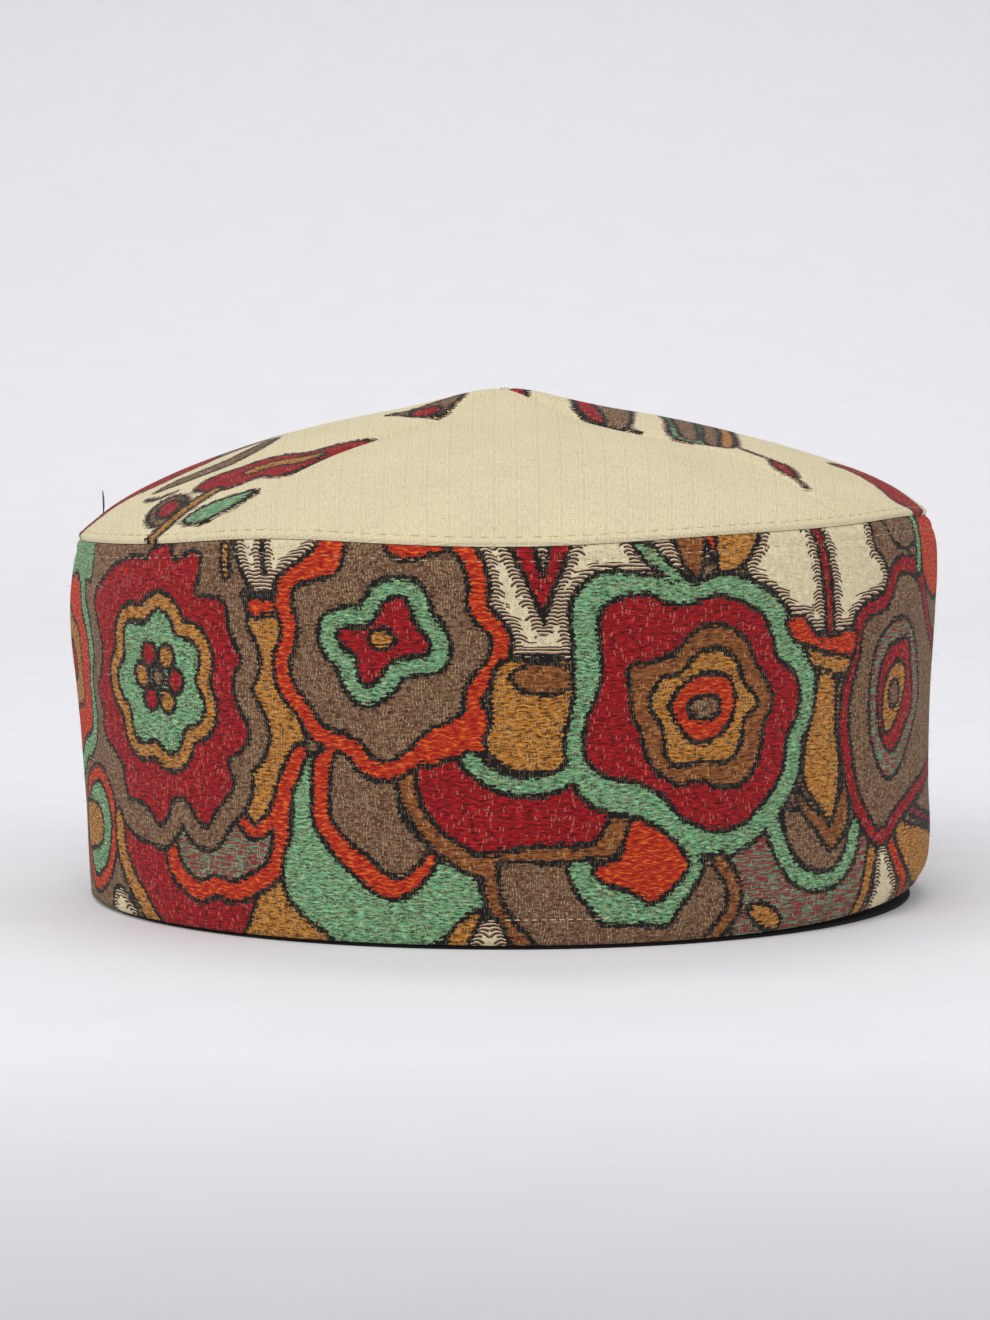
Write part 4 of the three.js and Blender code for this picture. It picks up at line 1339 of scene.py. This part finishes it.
def make_band_stitches(material):
    """Small light stitches in the crease under the crown seam."""
    count = int(2 * math.pi * CLOTH_RADIUS / BAND_STITCH)
    azimuth = (np.arange(count)[:, None] + along_stitch(BAND_STITCH_REACH)) * 360 / count
    radius, height = band_face(azimuth, band_share(azimuth, seam_height(azimuth) - STITCH_BELOW))
    make_threads("band_stitches", place(azimuth, radius + THREAD_LIFT, height), BAND_THREAD, material)


def make_tacking(material):
    """A short row of loose tacking stitches on the taupe below the bowl."""
    middles = np.linspace(*TACKING_ENDS, TACKING_COUNT)[:, None]
    azimuth = np.degrees((middles + along_stitch(TACKING_REACH)) / CLOTH_RADIUS)
    radius, height = band_face(azimuth, band_share(azimuth, TACKING_HEIGHT))
    make_threads("tacking_stitches", place(azimuth, radius + TACKING_LIFT, height), TACKING_THREAD, material)


BAND_HAIRS = 1800
BAND_HAIR_SHARES = (0.02, 1)
BAND_HAIR_LENGTHS = (0.3, 0.8)
BAND_HAIR_SUNK = 0.05
PANEL_HAIRS = 200
CROWN_HAIR_LENGTHS = (0.2, 0.6)
HAIR_THICKNESS = 0.028
HAIR_LEAN = 0.7
FLATNESS = 0.6  # how much less a hair heads up at the crown's rim than at its peak
HAIR_SEED = 7


def hairs(places, azimuth, upward, length, chance):
    """Short curved lines that leave a surface. upward is how much each one heads up, from 0 to 1."""
    count = len(places)
    outward = place(azimuth, np.sqrt(1 - upward**2), upward)
    lean = chance.normal(0, HAIR_LEAN, (count, 3))
    along = np.linspace(0, 1, THREAD_PLACES)[None, :, None]
    return places[:, None] + (outward[:, None] * along + lean[:, None] * along**2) * length[:, None, None]


def make_fuzz(material):
    """Fine loose fibres all over the cloth."""
    chance = np.random.default_rng(HAIR_SEED)
    azimuth = chance.uniform(-180, 180, BAND_HAIRS)
    radius, height = band_face(azimuth, chance.uniform(*BAND_HAIR_SHARES, BAND_HAIRS))
    length = chance.uniform(*BAND_HAIR_LENGTHS, BAND_HAIRS)
    lines = [hairs(place(azimuth, radius - BAND_HAIR_SUNK, height), azimuth, 0 * azimuth, length, chance)]
    for panel in CROWN_PANELS:
        across = chance.uniform(-1, 1, (PANEL_HAIRS, 1))
        rows = crown_rows(LAST_ROW * (1 - np.sqrt(chance.uniform(0, 1, (PANEL_HAIRS, 1)))))
        azimuth, radius, height = (values[:, 0] for values in crown_surface(panel, across, rows))
        upward = np.clip(1 - rows["share"][:, 0] * FLATNESS, 0, 1)
        length = chance.uniform(*CROWN_HAIR_LENGTHS, PANEL_HAIRS)
        lines.append(hairs(place(azimuth, radius, height), azimuth, upward, length, chance))
    make_threads("cloth_fuzz", np.concatenate(lines), HAIR_THICKNESS, material, FIBRE_SIDES)


LOOSE_END_PLACE = (0.03, 7.6)  # across the left panel, and from its rim
LOOSE_END_LINE = [(0, 0, -0.3), (0.1, 0, 1.5), (0.05, 0, 3.2), (-0.1, 0, 4.8)]
LOOSE_THREAD = 0.22


def make_loose_end(material):
    """The end of a blue-grey thread that stands up from the left shoulder."""
    across, from_rim = (np.full((1, 1), value) for value in LOOSE_END_PLACE)
    foot = place(*crown_surface("left", across, crown_rows(from_rim)))[0, 0]
    make_threads("loose_end", (foot + np.array(LOOSE_END_LINE))[None], LOOSE_THREAD, material)


# Floor, in metres

FLOOR_HALF = 3.0
SWEEP_START = 0.9
SWEEP_RADIUS = 0.8
SWEEP_STEPS = 16
PAPER = (linear(236, 236, 239), linear(238, 238, 241))
PAPER_GRAIN = (40, 40)
PAPER_FADE = (0.3, 0.7)
PAPER_ROUGHNESS = 0.8
# Painted shade on the paper, darker towards the front and higher up the wall: two places, and the tone of the
# paper at each
FRONT_PAINTED_SHADE = (-0.39, -0.2, 0.66, 1)
WALL_PAINTED_SHADE = (0.05, 0.4, 1, 0.82)


def paper_material():
    n = Nodes("paper")
    x, y, z = n.object_place()
    grain = n.noise(x, n.plus(y, z), PAPER_GRAIN)
    colour = n.mix(n.ramp(grain, *PAPER_FADE), *PAPER)
    # Painted shade: the paper darkens towards the front and higher up the wall
    tone = n.times(n.ramp(y, *FRONT_PAINTED_SHADE), n.ramp(z, *WALL_PAINTED_SHADE))
    return n.close({"Base Color": n.shade(colour, tone), "Roughness": PAPER_ROUGHNESS})


def make_floor():
    """A pale paper sweep: a floor that curves up behind the cap, with painted shade, a little darker in front
    and higher up the wall.
    """
    line = [(-FLOOR_HALF, 0), (0, 0)]
    for turn in np.linspace(0, math.pi / 2, SWEEP_STEPS + 1):
        line.append((SWEEP_START + SWEEP_RADIUS * math.sin(turn), SWEEP_RADIUS * (1 - math.cos(turn))))
    line.append((SWEEP_START + SWEEP_RADIUS, FLOOR_HALF))
    points = [(x, y, z) for x in (-FLOOR_HALF, FLOOR_HALF) for y, z in line]
    count = len(line)
    faces = [(i, i + count, i + count + 1, i + 1) for i in range(count - 1)]
    add_mesh("floor", points, faces, [paper_material()])


# The scene

# The colour of each plain cloth, and the distance between its threads
PLAIN_CLOTHS = {
    "weave_reverse": (linear(150, 128, 104), 0.8),
    "cream_reverse": (linear(206, 194, 160), 0.7),
    "black_cloth": (linear(26, 22, 22), 0.45),
}
# The two colours of each kind of thread
THREADS = {
    "fibres": (linear(232, 222, 204), linear(206, 180, 156)),
    "crown_thread": (linear(206, 186, 148), linear(178, 148, 112)),
    "band_thread": (linear(206, 188, 156), linear(178, 156, 124)),
    "blue_thread": (linear(90, 100, 120), linear(70, 78, 98)),
}

bpy.context.scene.view_settings.view_transform = "Standard"
make_camera()
make_world(linear(228, 228, 231), SKY_STRENGTH)
for lamp_name, settings in LAMPS.items():
    make_light(lamp_name, *settings)
make_floor()

woven = weave_material("kani_weave", FRINGE_REACH, nested_squares=False)
cream = weave_material("cream_nested_weave", CROWN_FRINGE_REACH, nested_squares=True)
plain = {name: plain_material(name, *settings) for name, settings in PLAIN_CLOTHS.items()}
threads = {name: thread_material(name, *colours) for name, colours in THREADS.items()}

make_band([woven, plain["weave_reverse"]])
for crown_panel in CROWN_PANELS:
    make_panel(crown_panel, [cream, plain["cream_reverse"]])
make_facing(plain["black_cloth"])
make_crown_stitches(threads["crown_thread"])
make_band_stitches(threads["band_thread"])
make_tacking(threads["band_thread"])
make_fuzz(threads["fibres"])
make_loose_end(threads["blue_thread"])
